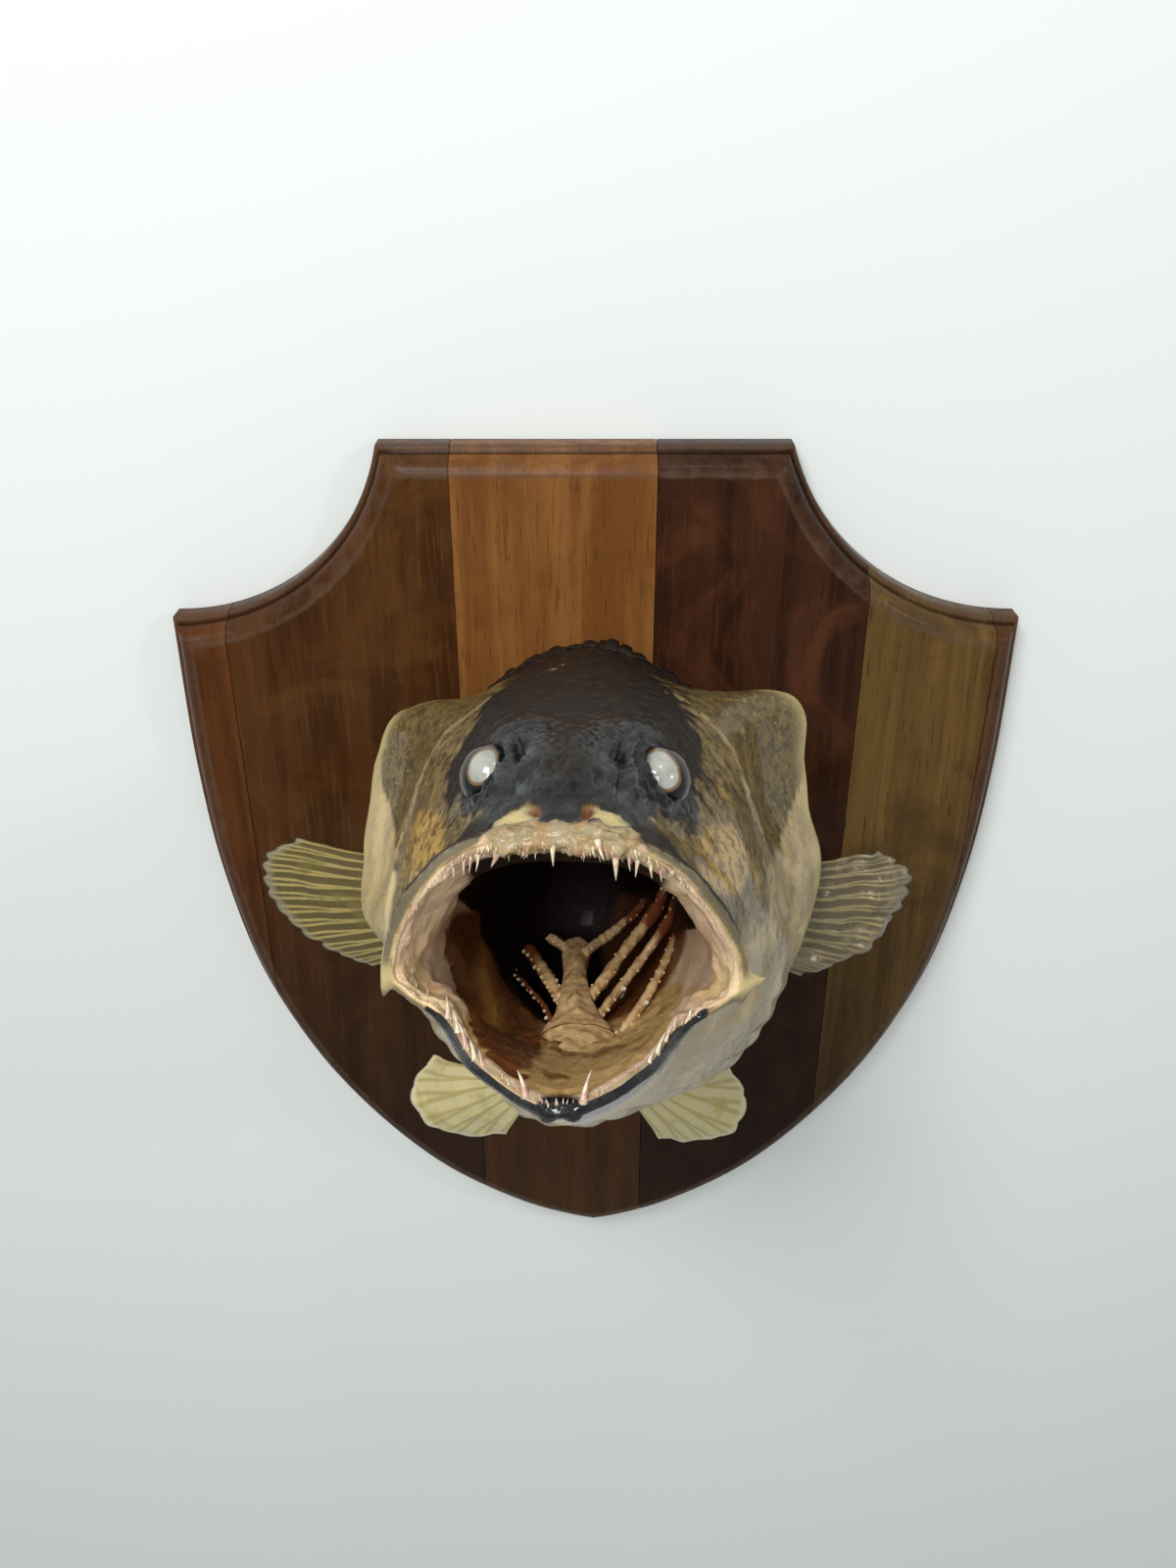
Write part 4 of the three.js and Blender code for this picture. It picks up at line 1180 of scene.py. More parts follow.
    def make(self, material: Material) -> Piece:
        """Cuts the skin off at the board, as a closed piece that stands for every node of flesh.

        Args:
            material: the piece's finish.

        Returns:
            The piece.
        """
        world = POSE.world(self.points).reshape(*self.shape, 3)
        marks = {mark: value.reshape(self.shape) for mark, value in self.marks.items()}
        bm = grid_bmesh(world, True, marks)
        cut_off(bm, (0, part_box("stave_3")[0].y, 0), (0, 1, 0))
        nodes = ["trunk", "throat", "lower_jaw", "upper_jaw", "skull"]
        nodes += [f"{part}_{side.label}" for part in ("cheek", "gill_cover") for side in Side]
        return new_piece(self.name, bm, material, nodes)

    def normals(self) -> Array:
        """Unit normals of the points, out of the flesh."""
        handed = self.points.reshape(*self.shape, 3) * (1, -1, 1)
        return (grid_normals(handed) * (1, -1, 1)).reshape(-1, 3)
# -- the skin's finish


@dataclass(frozen=True)
class FishSkinFinish:
    """Dried, varnished fish skin, coloured by the markings that its mesh carries."""

    name: str = "varnished_fish_skin"
    cream: Colour = (0.60, 0.45, 0.215)
    belly: Colour = (0.38, 0.29, 0.15)
    olive: Colour = (0.155, 0.108, 0.036)
    olive_dark: Colour = (0.062, 0.043, 0.016)
    gold: Colour = (0.56, 0.36, 0.09)
    rust: Colour = (0.17, 0.085, 0.025)
    pale: Colour = (0.52, 0.42, 0.19)
    nape: Colour = (0.009, 0.0055, 0.0035)
    umber: Colour = (0.024, 0.014, 0.008)
    slate: Colour = (0.006, 0.0065, 0.007)
    slate_pale: Colour = (0.026, 0.026, 0.024)
    # blue-grey painted sheen and highlight on the mask
    dusty: Colour = (0.060, 0.066, 0.066)
    rim: Colour = (0.135, 0.112, 0.066)
    flesh: Colour = (0.78, 0.59, 0.37)
    mauve: Colour = (0.62, 0.43, 0.30)
    gum: Colour = (0.29, 0.235, 0.135)
    # painted shade on the underside of the throat
    throat: Colour = (0.36, 0.28, 0.165)
    # red-brown of the holes behind the lip and of the painted shade in the mouth
    amber: Colour = (0.11, 0.034, 0.012)
    tan: Colour = (0.55, 0.36, 0.145)
    brown: Colour = (0.30, 0.145, 0.045)
    # lighter red-brown mottled into the painted shade on the mouth's wall
    wall: Colour = (0.20, 0.068, 0.018)
    streak: Colour = (0.42, 0.19, 0.04)
    # black of the painted shade in the mouth
    depth: Colour = (0.008, 0.003, 0.002)

    def outside(self, shader: Shader, broad: Wire, fine: Wire, specks: Wire) -> Wire:
        """The colour of the outer skin.

        Args:
            shader: the material under construction.
            broad: noise with large clouds.
            fine: noise with small clouds.
            specks: noise with specks.

        Returns:
            The colour.
        """
        colour = shader.mix(broad.ramp(0.35, 0.65), self.cream, self.belly)
        colour = shader.mix(specks.ramp(0.55, 0.78) * 0.28, colour, self.olive)
        # painted shade on the underside of the throat
        colour = shader.mix(shader.mark(Mark.TAN).ragged(broad, 0.4, 0.1, 0.9) * 0.85, colour, self.throat)
        mottle = shader.mix(fine.ramp(0.38, 0.64), self.olive, self.olive_dark)
        mottle = shader.mix(specks.ramp(0.58, 0.74) * 0.5, mottle, self.gold)
        colour = shader.mix(shader.mark(Mark.OLIVE).ragged(fine, 0.7, 0.15, 0.85), colour, mottle)
        gilded = shader.mix(fine.ramp(0.42, 0.62), self.gold, self.rust)
        gilded = shader.mix(specks.ramp(0.60, 0.74) * 0.5, gilded, self.olive_dark)
        colour = shader.mix(shader.mark(Mark.GOLD).ragged(fine, 0.6, 0.25, 0.85), colour, gilded)
        colour = shader.mix(shader.mark(Mark.GREY).ragged(fine, 0.4, 0.2, 0.8) * 0.9, colour, self.rim)
        back = shader.mix(fine.ramp(0.48, 0.70), self.nape, self.umber)
        colour = shader.mix(shader.mark(Mark.DARK).ragged(fine, 0.8, 0.3, 0.7), colour, back)
        colour = shader.mix(shader.mark(Mark.PALE).ragged(fine, 0.4, 0.3, 0.9) * 0.85, colour, self.pale)
        return shader.mix(shader.mark(Mark.AMBER), colour, self.amber)

    def inside(self, shader: Shader, broad: Wire, fine: Wire, specks: Wire) -> Wire:
        """The colour of the mouth's lining.

        Args:
            shader: the material under construction.
            broad: noise with large clouds.
            fine: noise with small clouds.
            specks: noise with specks.

        Returns:
            The colour.
        """
        colour = shader.mix(broad.ramp(0.36, 0.60), self.flesh, self.mauve)
        colour = shader.mix(specks.ramp(0.5, 0.72) * 0.4, colour, self.tan)
        floor = shader.mix(fine.ramp(0.40, 0.66) * 0.6, self.tan, self.brown)
        colour = shader.mix(shader.mark(Mark.TAN).ragged(fine, 0.3, 0.2, 0.8), colour, floor)
        # red-brown painted shade on the shadowed wall, under the tongue and deep in the throat
        wall = shader.mix(fine.ramp(0.35, 0.75), self.amber, self.wall)
        colour = shader.mix(shader.mark(Mark.AMBER).ragged(fine, 0.4, 0.2, 0.7), colour, wall)
        colour = shader.mix(shader.mark(Mark.PALE) * 0.8, colour, self.pale)
        plate = shader.mix(specks.ramp(0.5, 0.7) * 0.5, self.gum, self.tan)
        plate = shader.mix(fine.ramp(0.46, 0.62) * 0.6, plate, self.brown)
        colour = shader.mix(shader.mark(Mark.GUM).ragged(fine, 0.4, 0.3, 0.8), colour, plate)
        colour = shader.mix(shader.mark(Mark.GOLD), colour, self.streak)
        # painted shade in the depths of the mouth and under the palate
        return shader.mix(shader.mark(Mark.DEEP).ragged(fine, 0.25, 0.15, 0.75), colour, self.depth)

    def make(self) -> Material:
        """Builds the material.

        Returns:
            The material.
        """
        shader = Shader(self.name)
        broad = shader.clouds(0.014, 3, 0.55)
        fine = shader.clouds(0.0038, 4, 0.6, distortion=0.4)
        specks = shader.clouds(0.0013, 2, 0.5)
        outside = self.outside(shader, broad, fine, specks)
        inside = self.inside(shader, broad, fine, specks)
        colour = shader.mix(shader.mark(Mark.INSIDE), outside, inside)
        mask = shader.mix(fine.ramp(0.42, 0.72), self.slate, self.slate_pale)
        # painted sheen in the mask's hollows and painted highlight along its ridges
        mask = shader.mix(shader.mark(Mark.DUSTY).ragged(fine, 0.6, 0.25, 0.95) * 0.8, mask, self.dusty)
        slate = shader.mark(Mark.SLATE)
        colour = shader.mix(slate.ragged(fine, 0.6, 0.35, 0.75), colour, mask)
        grain = shader.node("TexVoronoi", {"feature": "DISTANCE_TO_EDGE"},
                            {"Vector": shader.place(), "Scale": 900.0}, output="Distance")
        height = (fine * 0.6 + specks * 0.3) * (1.0 + slate * 1.8) + grain.ramp(0.0, 0.12) * 0.10
        dark = shader.mark(Mark.DARK)
        deep = shader.mark(Mark.DEEP)
        roughness = 0.26 + fine.ramp(0.35, 0.75) * 0.22 + dark * 0.12 - slate * 0.12 + deep * 0.25
        coat = 0.25 + slate * 0.35 + shader.mark(Mark.GOLD) * 0.3 - dark * 0.2 - deep * 0.25
        return shader.finish(base_color=colour, roughness=roughness, coat_weight=coat, coat_roughness=0.06,
                             specular_ior_level=0.12, normal=shader.bump(height, 0.0006, 0.8))


# -- eyes


@dataclass(frozen=True)
class EyeFinish:
    """A glassy eye whose lens has gone milky in a dark ball."""

    lens: Colour = (0.35, 0.35, 0.31)
    lens_shade: Colour = (0.27, 0.28, 0.245)
    ring: Colour = (0.16, 0.10, 0.045)
    ball: Colour = (0.006, 0.006, 0.007)

    def make(self, name: str, centre: Array, axes: Array) -> Material:
        """Builds the material.

        Args:
            name: the material's name.
            centre: middle of the lens in metres.
            axes: the oval lens's half axes in metres, one a row.

        Returns:
            The material.
        """
        shader = Shader(name)
        inputs = {0: shader.place(), 1: tuple(float(c) for c in centre)}
        offset = shader.node("VectorMath", {"operation": "SUBTRACT"}, inputs)
        shares = []
        for axis in axes:
            inputs = {0: offset, 1: tuple(float(c) for c in axis / (axis @ axis))}
            shares.append(shader.node("VectorMath", {"operation": "DOT_PRODUCT"}, inputs, output="Value"))
        reach = (shares[0] * shares[0] + shares[1] * shares[1]) ** 0.5
        haze = shader.clouds(0.0035, 3, 0.5)
        edge = reach + (haze - 0.5) * 0.2
        lens = shader.mix(haze.ramp(0.40, 0.70), self.lens, self.lens_shade)
        colour = shader.mix(edge.ramp(0.90, 1.02), lens, self.ring)
        colour = shader.mix(edge.ramp(1.06, 1.20), colour, self.ball)
        return shader.finish(base_color=colour, roughness=0.2, coat_weight=0.6, coat_roughness=0.03,
                             specular_ior_level=0.2, normal=shader.bump(haze, 0.0002, 0.3))


@dataclass
class Eye:
    """One eyeball in its socket, with the oval of its milky lens."""

    side: Side
    lens_towards: Place
    lens_size: tuple[float, float]
    lens_lean: float  # degrees that the lens's long axis leans inwards at its top
    centre: Place = (22.0, 186.0, 15.5)
    radius: float = 9.0
    grid: tuple[int, int] = (64, 40)  # faces round the ball and from pole to pole

    def make(self, finish: EyeFinish) -> Piece:
        """Builds the eyeball.

        Args:
            finish: what the eye is made of.

        Returns:
            The piece.
        """
        name = f"eye_{self.side.label}"
        middle = np.asarray(self.centre) * (self.side.value, 1, 1)
        towards = np.asarray(self.lens_towards) * (self.side.value, 1, 1)
        lens = middle + self.radius * unit(towards)
        bm = bmesh.new()
        around, down = self.grid
        bmesh.ops.create_uvsphere(bm, u_segments=around, v_segments=down, radius=self.radius * MM)
        bmesh.ops.translate(bm, verts=bm.verts, vec=Vector(POSE.world(middle)))
        lean = math.radians(self.lens_lean)
        out = self.side.value
        long = np.array((-out * math.sin(lean), 0, math.cos(lean))) * self.lens_size[0]
        short = np.array((out * math.cos(lean), 0, math.sin(lean))) * self.lens_size[1]
        axes = POSE.world(np.array([long, short])) - POSE.world(np.zeros(3))
        material = finish.make(f"{name}_glass", POSE.world(lens), axes)
        return new_piece(f"glass_{name}", bm, material, [name])


EYES = [Eye(Side.RIGHT, (1.9, 8.3, 2.4), (4.9, 3.3), 28.0),
        Eye(Side.LEFT, (1.0, 8.4, 2.4), (5.6, 3.8), 33.0)]


# -- teeth


@dataclass(frozen=True)
class ToothFinish:
    """Dry teeth, pink at the root and cream at the tip."""

    name: str = "dry_tooth"
    cream: Colour = (0.62, 0.53, 0.36)
    pink: Colour = (0.46, 0.25, 0.18)
    glass: Colour = (0.50, 0.47, 0.38)

    def make(self) -> Material:
        """Builds the material.

        Returns:
            The material.
        """
        shader = Shader(self.name)
        spots = shader.clouds(0.003, 2, 0.5)
        colour = shader.mix(spots.ramp(0.42, 0.60), self.cream, self.pink)
        colour = shader.mix(shader.mark("tip").ramp(0.55, 1.0) * 0.7, colour, self.glass)
        return shader.finish(base_color=colour, roughness=0.3, coat_weight=0.5, coat_roughness=0.1,
                             normal=shader.bump(spots, 0.0002, 0.4))


# Large teeth as (key round the lip, row from the lip inwards, length, radius at the root, lean).
FANGS = [
    (-1.62, 5.9, 2.6, 0.48, 0.1), (-1.43, 5.9, 3.5, 0.57, 0.0), (-1.31, 5.9, 3.7, 0.62, 0.1),
    (-1.19, 5.9, 4.0, 0.57, 0.2), (-0.9, 5.8, 3.8, 1.32, -0.3), (-0.13, 5.8, 4.1, 0.79, 0.0),
    (0.47, 6.5, 4.4, 0.88, 0.1), (0.73, 5.7, 6.1, 1.19, 0.0), (0.93, 5.8, 3.4, 0.66, 0.2),
    (1.06, 5.8, 4.0, 0.75, 0.0), (1.25, 5.9, 3.5, 0.7, 0.1), (1.42, 5.9, 2.7, 0.53, 0.1),
    (4.18, 6.3, 3.9, 0.76, 0.3), (4.4, 6.3, 4.2, 0.8, 0.3), (4.66, 6.3, 4.9, 0.86, 0.3),
    (4.85, 6.3, 3.5, 0.71, 0.3), (5.72, 6.2, 6.8, 1.06, 0.2), (6.38, 6.2, 5.5, 1.01, -0.3),
    (6.98, 6.3, 3.5, 0.71, 0.2), (7.13, 6.3, 4.3, 0.8, 0.2), (7.38, 6.3, 5.4, 0.91, 0.3),
    (7.68, 6.3, 5.8, 1.01, 0.35), (7.98, 6.3, 5.5, 0.91, 0.3), (3.85, 6.3, 3.0, 0.61, 0.3),
]
# Bands of small teeth as (first key, last key, first row, last row, how many, length).
BRISTLES = [
    (-1.9, 1.9, 5.9, 6.5, 70, 1.0), (-1.0, 1.0, 5.2, 6.3, 30, 1.3), (0.9, 2.4, 6.2, 6.7, 30, 0.9),
    (-2.4, -0.9, 6.2, 6.7, 30, 0.9), (3.7, 5.6, 6.0, 6.6, 26, 1.1), (6.4, 8.4, 6.0, 6.6, 26, 1.1),
    (5.5, 6.5, 6.0, 6.6, 24, 1.2), (8.5, 9.2, 4.7, 5.3, 14, 1.1),
]


@dataclass
class Teeth:
    """Canines and bands of small teeth, rooted in the gums of the finished skin."""

    skin: Skin
    rows: int = 8  # along a tooth
    sunk: float = 0.8  # depth of a root below the gum
    bristle: float = 0.30  # radius of the small teeth
    seed: int = 7

    def tooth(self, key: float, row: float, length: float, radius: float,
              lean: float) -> tuple[Array, Array]:
        """The path and radii of one curved tooth.

        Args:
            key: place round the lip.
            row: place between the rings of the skin.
            length: its length above the gum.
            radius: its radius at the root.
            lean: how far the tip turns towards the corner of the mouth, per length.

        Returns:
            The middle line in local millimetres and the radii in metres.
        """
        root, normal = self.skin.spot(row, key)
        upper = math.cos(key * math.tau / KEYS) > 0
        bite = np.array((0, 0.12, -1.0)) if upper else np.array((0, -0.05, 1.0))
        towards = unit(0.45 * normal + bite)
        t = np.linspace(0, 1, self.rows)
        bend = np.array((math.copysign(lean, root[0]), -0.35, 0)) * length
        rise = t[:, None] * (length + self.sunk) - self.sunk
        middle = root + rise * towards + (t ** 2)[:, None] * bend
        radii = radius * MM * np.concatenate([[0], (1 - t) ** 0.75 * (1 + 0.35 * (1 - t) ** 4)])
        return np.vstack([middle[:1], middle]), radii

    def make(self, material: Material) -> Piece:
        """Builds all the teeth as one piece.

        Args:
            material: the piece's finish.

        Returns:
            The piece.
        """
        chance = np.random.default_rng(self.seed)
        made = [self.tooth(*fang) for fang in FANGS]
        for first, last, low, high, count, length in BRISTLES:
            for _ in range(count):
                key, row = chance.uniform(first, last), chance.uniform(low, high)
                size = chance.uniform(0.55, 1.25)
                lean = chance.uniform(-0.3, 0.3)
                made.append(self.tooth(key, row, length * size, self.bristle * size, lean))
        paths = POSE.world(np.array([path for path, _ in made]))
        radii = np.array([radii for _, radii in made])
        mesh, row = tube_array("teeth", paths, radii, 8, (0.3, 1.0, 0.2), 0.8)
        carry(mesh, "tip", np.tile(row / row.max(), len(made)))
        return new_piece("teeth", mesh, material)


# -- gill arches and tongue


@dataclass(frozen=True)
class ArchFinish:
    """Dried gill arches: tan, with pale rakers, and red-brown then black painted shade under the bars, at
    their far ends, on arches that lie in shadow and in the tongue bone's pits.
    """

    name: str = "dry_gill_arch"
    tan: Colour = (0.64, 0.43, 0.21)
    brown: Colour = (0.36, 0.165, 0.045)
    red: Colour = (0.17, 0.045, 0.016)
    # black of the strongest painted shade
    depth: Colour = (0.012, 0.004, 0.002)
    bone: Colour = (0.60, 0.55, 0.44)

    def make(self) -> Material:
        """Builds the material.

        Returns:
            The material.
        """
        shader = Shader(self.name)
        fine = shader.clouds(0.003, 4, 0.6, distortion=0.3)
        broad = shader.clouds(0.009, 2, 0.5)
        colour = shader.mix(fine.ramp(0.44, 0.66) * 0.75, self.tan, self.brown)
        # painted shade: red-brown, then black where it is strongest
        colour = shader.mix(shader.mark("crease").ragged(broad, 0.8, 0.35, 0.85), colour, self.red)
        colour = shader.mix(shader.mark("crease").ramp(1.2, 1.7), colour, self.depth)
        colour = shader.mix(shader.mark("bone"), colour, self.bone)
        return shader.finish(base_color=colour, roughness=0.32 + fine * 0.2, coat_weight=0.3,
                             coat_roughness=0.12, specular_ior_level=0.35,
                             normal=shader.bump(fine, 0.0006, 0.8))


# Each arch as (path from the floor up the wall, radius, share of rakers that show as bone, painted shade
# over the whole arch, strong on arches that lie in shadow).
ARCHES = [
    ([(-1, 115, -41.5), (2, 110, -38.6), (5, 106, -36.6), (8.2, 103, -34.6), (12.5, 99.5, -31.3),
      (17, 96, -27.5), (22, 93, -22)], 2.1, 0.0, 0.1),
    ([(1.5, 131, -54), (4.5, 127, -50), (7.5, 124, -46.4), (14.6, 115, -37), (20.4, 112, -29.8),
      (24.6, 118, -22.8), (27.4, 123, -16)], 2.5, 0.05, 0.0),
    ([(5, 138, -58), (8, 133, -54), (13, 124, -48.5), (18.5, 118, -41.5), (24.6, 117, -33),
      (28.6, 123, -25.5), (30.6, 131, -18)], 2.1, 0.12, 0.15),
    ([(12, 150, -60), (19.5, 138, -51.5), (24.6, 130, -43.6), (30, 120, -32.4),
      (34, 114, -20)], 2.0, 0.05, 0.1),
    ([(-2, 131, -55.5), (-5.5, 129, -52), (-8.6, 125, -48), (-13.5, 115, -43),
      (-18.4, 106, -38.4)], 2.9, 0.0, 0.0),
    ([(-7, 140, -58.5), (-10.7, 130, -54), (-15.5, 122, -50.5), (-21, 113, -46.5),
      (-26, 106, -40)], 1.3, 0.85, 1.1),
    ([(-14, 142, -59.5), (-20.5, 134, -54), (-24.5, 128, -48.5), (-28.5, 122, -42), (-31, 118, -35.5),
      (-33, 115, -31)], 1.0, 0.6, 1.1),
    ([(-1.8, 115, -41.5), (-5, 110, -38.5), (-8.5, 106, -36.5), (-11.3, 104, -35.4)], 2.1, 0.0, -0.1),
]


@dataclass
class Throat:
    """The tongue bone along the floor, the arches that fork from it and their rakers."""

    bar_grid: tuple[int, int] = (40, 14)  # rows and sides of an arch
    bone_grid: tuple[int, int] = (72, 40)  # rows and sides of the tongue bone
    knobs: int = 14  # along each edge of an arch
    free_knobs: int = 2  # at the upper end, which never show as bone
    thickness: Array = field(default_factory=lambda: np.array([0, 1, 1.0, 0.9, 0.6, 0]))
    seed: int = 3

    def bar(self, bm: BMesh, path: Sequence[Place], radius: float, crease: float) -> None:
        """Adds a lumpy bar along a path.

        Args:
            bm: the mesh under construction.
            path: the bar's middle line, in local places.
            radius: its radius in millimetres.
            crease: painted shade over the whole arch.
        """
        rows, sides = self.bar_grid
        points = curve(path, rows)
        t = np.linspace(0, 1, rows)
        lumps = 1 + 0.22 * cloudiness(points, 4.0, 2, 8.0) + 0.07 * np.cos(t * math.tau * 10)
        radii = radius * MM * lumps * smooth(t, -0.02, 0.10) * smooth(1 - t, -0.02, 0.06)
        radii[[0, -1]] = 0
        places = tube(POSE.world(points), radii, sides, (0, -0.3, 1.0), 0.7)
        # painted shade under the bar, and on long arches towards their far end
        under = 0.5 - 0.5 * np.cos(np.arange(sides) * math.tau / sides)
        far = 1.3 * smooth(t, 0.5, 1.0) if len(path) > 4 else 0 * t
        add_grid(bm, places, True, {"crease": crease + 0.75 * under + far[:, None], "bone": 0.0})

    def rakers(self, path: Sequence[Place], radius: float, bony: float,
               chance: np.random.Generator) -> list[tuple[Array, Array, float]]:
        """Paths, radii and paleness of the short knobs along both edges of an arch.

        Args:
            path: the arch's middle line, in local places.
            radius: the arch's radius in millimetres.
            bony: share of the inner knobs that show as bone.
            chance: source of the random draws.

        Returns:
            The middle line, radii and paleness of each knob.
        """
        points = curve(path, self.knobs, start=0.15, stop=0.3)
        outwards = math.copysign(1.0, path[1][0])
        found = []
        for i, point in enumerate(points):
            for edge in (1, -1):
                rise = 0.28 + 0.3 * chance.uniform(-1, 1)
                direction = unit(np.array((outwards * edge * 0.75, 0.65, rise)))
                shown = edge > 0 and chance.uniform() < bony and i < self.knobs - self.free_knobs
                reach = radius * (0.85 + chance.uniform(*((0.5, 0.9) if shown else (0.2, 0.35))))
                size = radius * chance.uniform(*((0.35, 0.6) if shown else (0.26, 0.36)))
                middle = point + np.linspace(0.35, 1, 6)[:, None] * direction * reach
                found.append((middle, size * MM * self.thickness, 0.85 if shown else 0.0))
        return found

    def tongue_bone(self, bm: BMesh) -> None:
        """Adds the bones in the middle of the floor, broad where the arches fork from them.

        Args:
            bm: the mesh under construction.
        """
        path = [(1.5, 170, -65.5), (1.2, 159, -62.5), (0.8, 149, -60), (0, 140, -56),
                (-1.0, 131, -50.5), (-1.6, 121, -44.5), (-1.8, 112, -39.5), (-1.4, 104, -36.5)]
        rows, sides = self.bone_grid
        points = curve(path, rows)
        t = np.linspace(0, 1, rows)
        width = np.interp(t, (0, 0.12, 0.29, 0.36, 0.43, 0.57, 0.71, 0.86, 0.95, 1),
                          (4, 9, 11.5, 10.0, 7.2, 4.8, 3.7, 4.6, 5.0, 2.5))
        width[[0, -1]] = 0
        places = tube(POSE.world(points), width * MM, sides, (1.0, 0, 0), 0.42)
        local = np.repeat(points[:, None], sides, axis=1)
        reach = np.cos(np.arange(sides) * math.tau / sides)[None] * width[:, None]
        ridge = hump(reach, 0, 2.0) * smooth(t, 0.3, 0.45)[:, None]
        pits = 2.2 * hump(reach, 4.4, 1.6) * hump(t, 0.80, 0.09)[:, None]
        local[..., 0] += reach
        lumps = 0.8 * cloudiness(local.reshape(-1, 3), 5, 3, 2.0)
        rise = (ridge - pits + lumps.reshape(rows, sides)) * smooth(width, 0.5, 3)[:, None]
        up = POSE.world(np.array((0.0, 0.35, 1.0))) - POSE.world(np.zeros(3))
        places += rise[..., None] * up
        # painted shade in the pits, in a dark line across the bone, at its far end and along its sides
        crease = 0.8 * hump(reach, 4.4, 1.5) * hump(t, 0.80, 0.09)[:, None]
        crease = crease + 0.9 * hump(t, 0.28, 0.012)[:, None] + 0.8 * smooth(t, 0.88, 1.0)[:, None]
        crease = crease + 0.4 * smooth(np.abs(reach) / width[:, None].clip(1), 0.8, 1)
        add_grid(bm, places, True, {"crease": crease, "bone": 0.0})

    def make(self, material: Material) -> None:
        """Builds tongue and arches as one piece and the rakers as another.

        Args:
            material: both pieces' finish.
        """
        chance = np.random.default_rng(self.seed)
        bm = bmesh.new()
        self.tongue_bone(bm)
        knobs = []
        for path, radius, bony, dark in ARCHES:
            self.bar(bm, path, radius, dark)
            knobs += self.rakers(path, radius, bony, chance)
        loose = np.linspace((12.4, 123, -52), (13.6, 119, -48), 6)
        stub = np.minimum(self.thickness, (0, 0.9, 1, 1, 1, 0))
        knobs.append((loose, 2.0 * MM * stub, 1.0))
        new_piece("gill_arches", bm, material, ["tongue_and_gill_arches"])
        paths = POSE.world(np.array([path for path, _, _ in knobs]))
        radii = np.array([radii for _, radii, _ in knobs])
        mesh, row = tube_array("gill_rakers", paths, radii, 7, (0, 0, 1.0), 0.7)
        carry(mesh, "bone", np.repeat([bone for _, _, bone in knobs], len(row)))
        # a little painted shade on every raker
        carry(mesh, "crease", np.full(len(row) * len(knobs), 0.35))
        new_piece("gill_rakers", mesh, material)


# -- fins


@dataclass(frozen=True)
class FinFinish:
    """Dried fin skin, darker or paler than the rays it is stretched on."""

    name: str
    ray: Colour
    web: Colour
    stain: Colour
    rim: Colour
    roughness: float = 0.34

    def make(self) -> Material:
        """Builds the material.

        Returns:
            The material.
        """
        shader = Shader(self.name)
        fine = shader.clouds(0.0022, 3, 0.6)
        broad = shader.clouds(0.012, 3, 0.55)
        colour = shader.mix(shader.mark("ray").ragged(fine, 0.5, 0.15, 0.75), self.web, self.ray)
        colour = shader.mix(broad.ramp(0.50, 0.68) * 0.7, colour, self.stain)
        colour = shader.mix(shader.mark("rim").ragged(fine, 0.5, 0.3, 0.9) * 0.8, colour, self.rim)
        height = fine * 0.5 + shader.mark("ray") * 0.5
        return shader.finish(base_color=colour, roughness=self.roughness + fine * 0.2, coat_weight=0.2,
                             coat_roughness=0.15, specular_ior_level=0.3,
                             normal=shader.bump(height, 0.0004, 0.6))


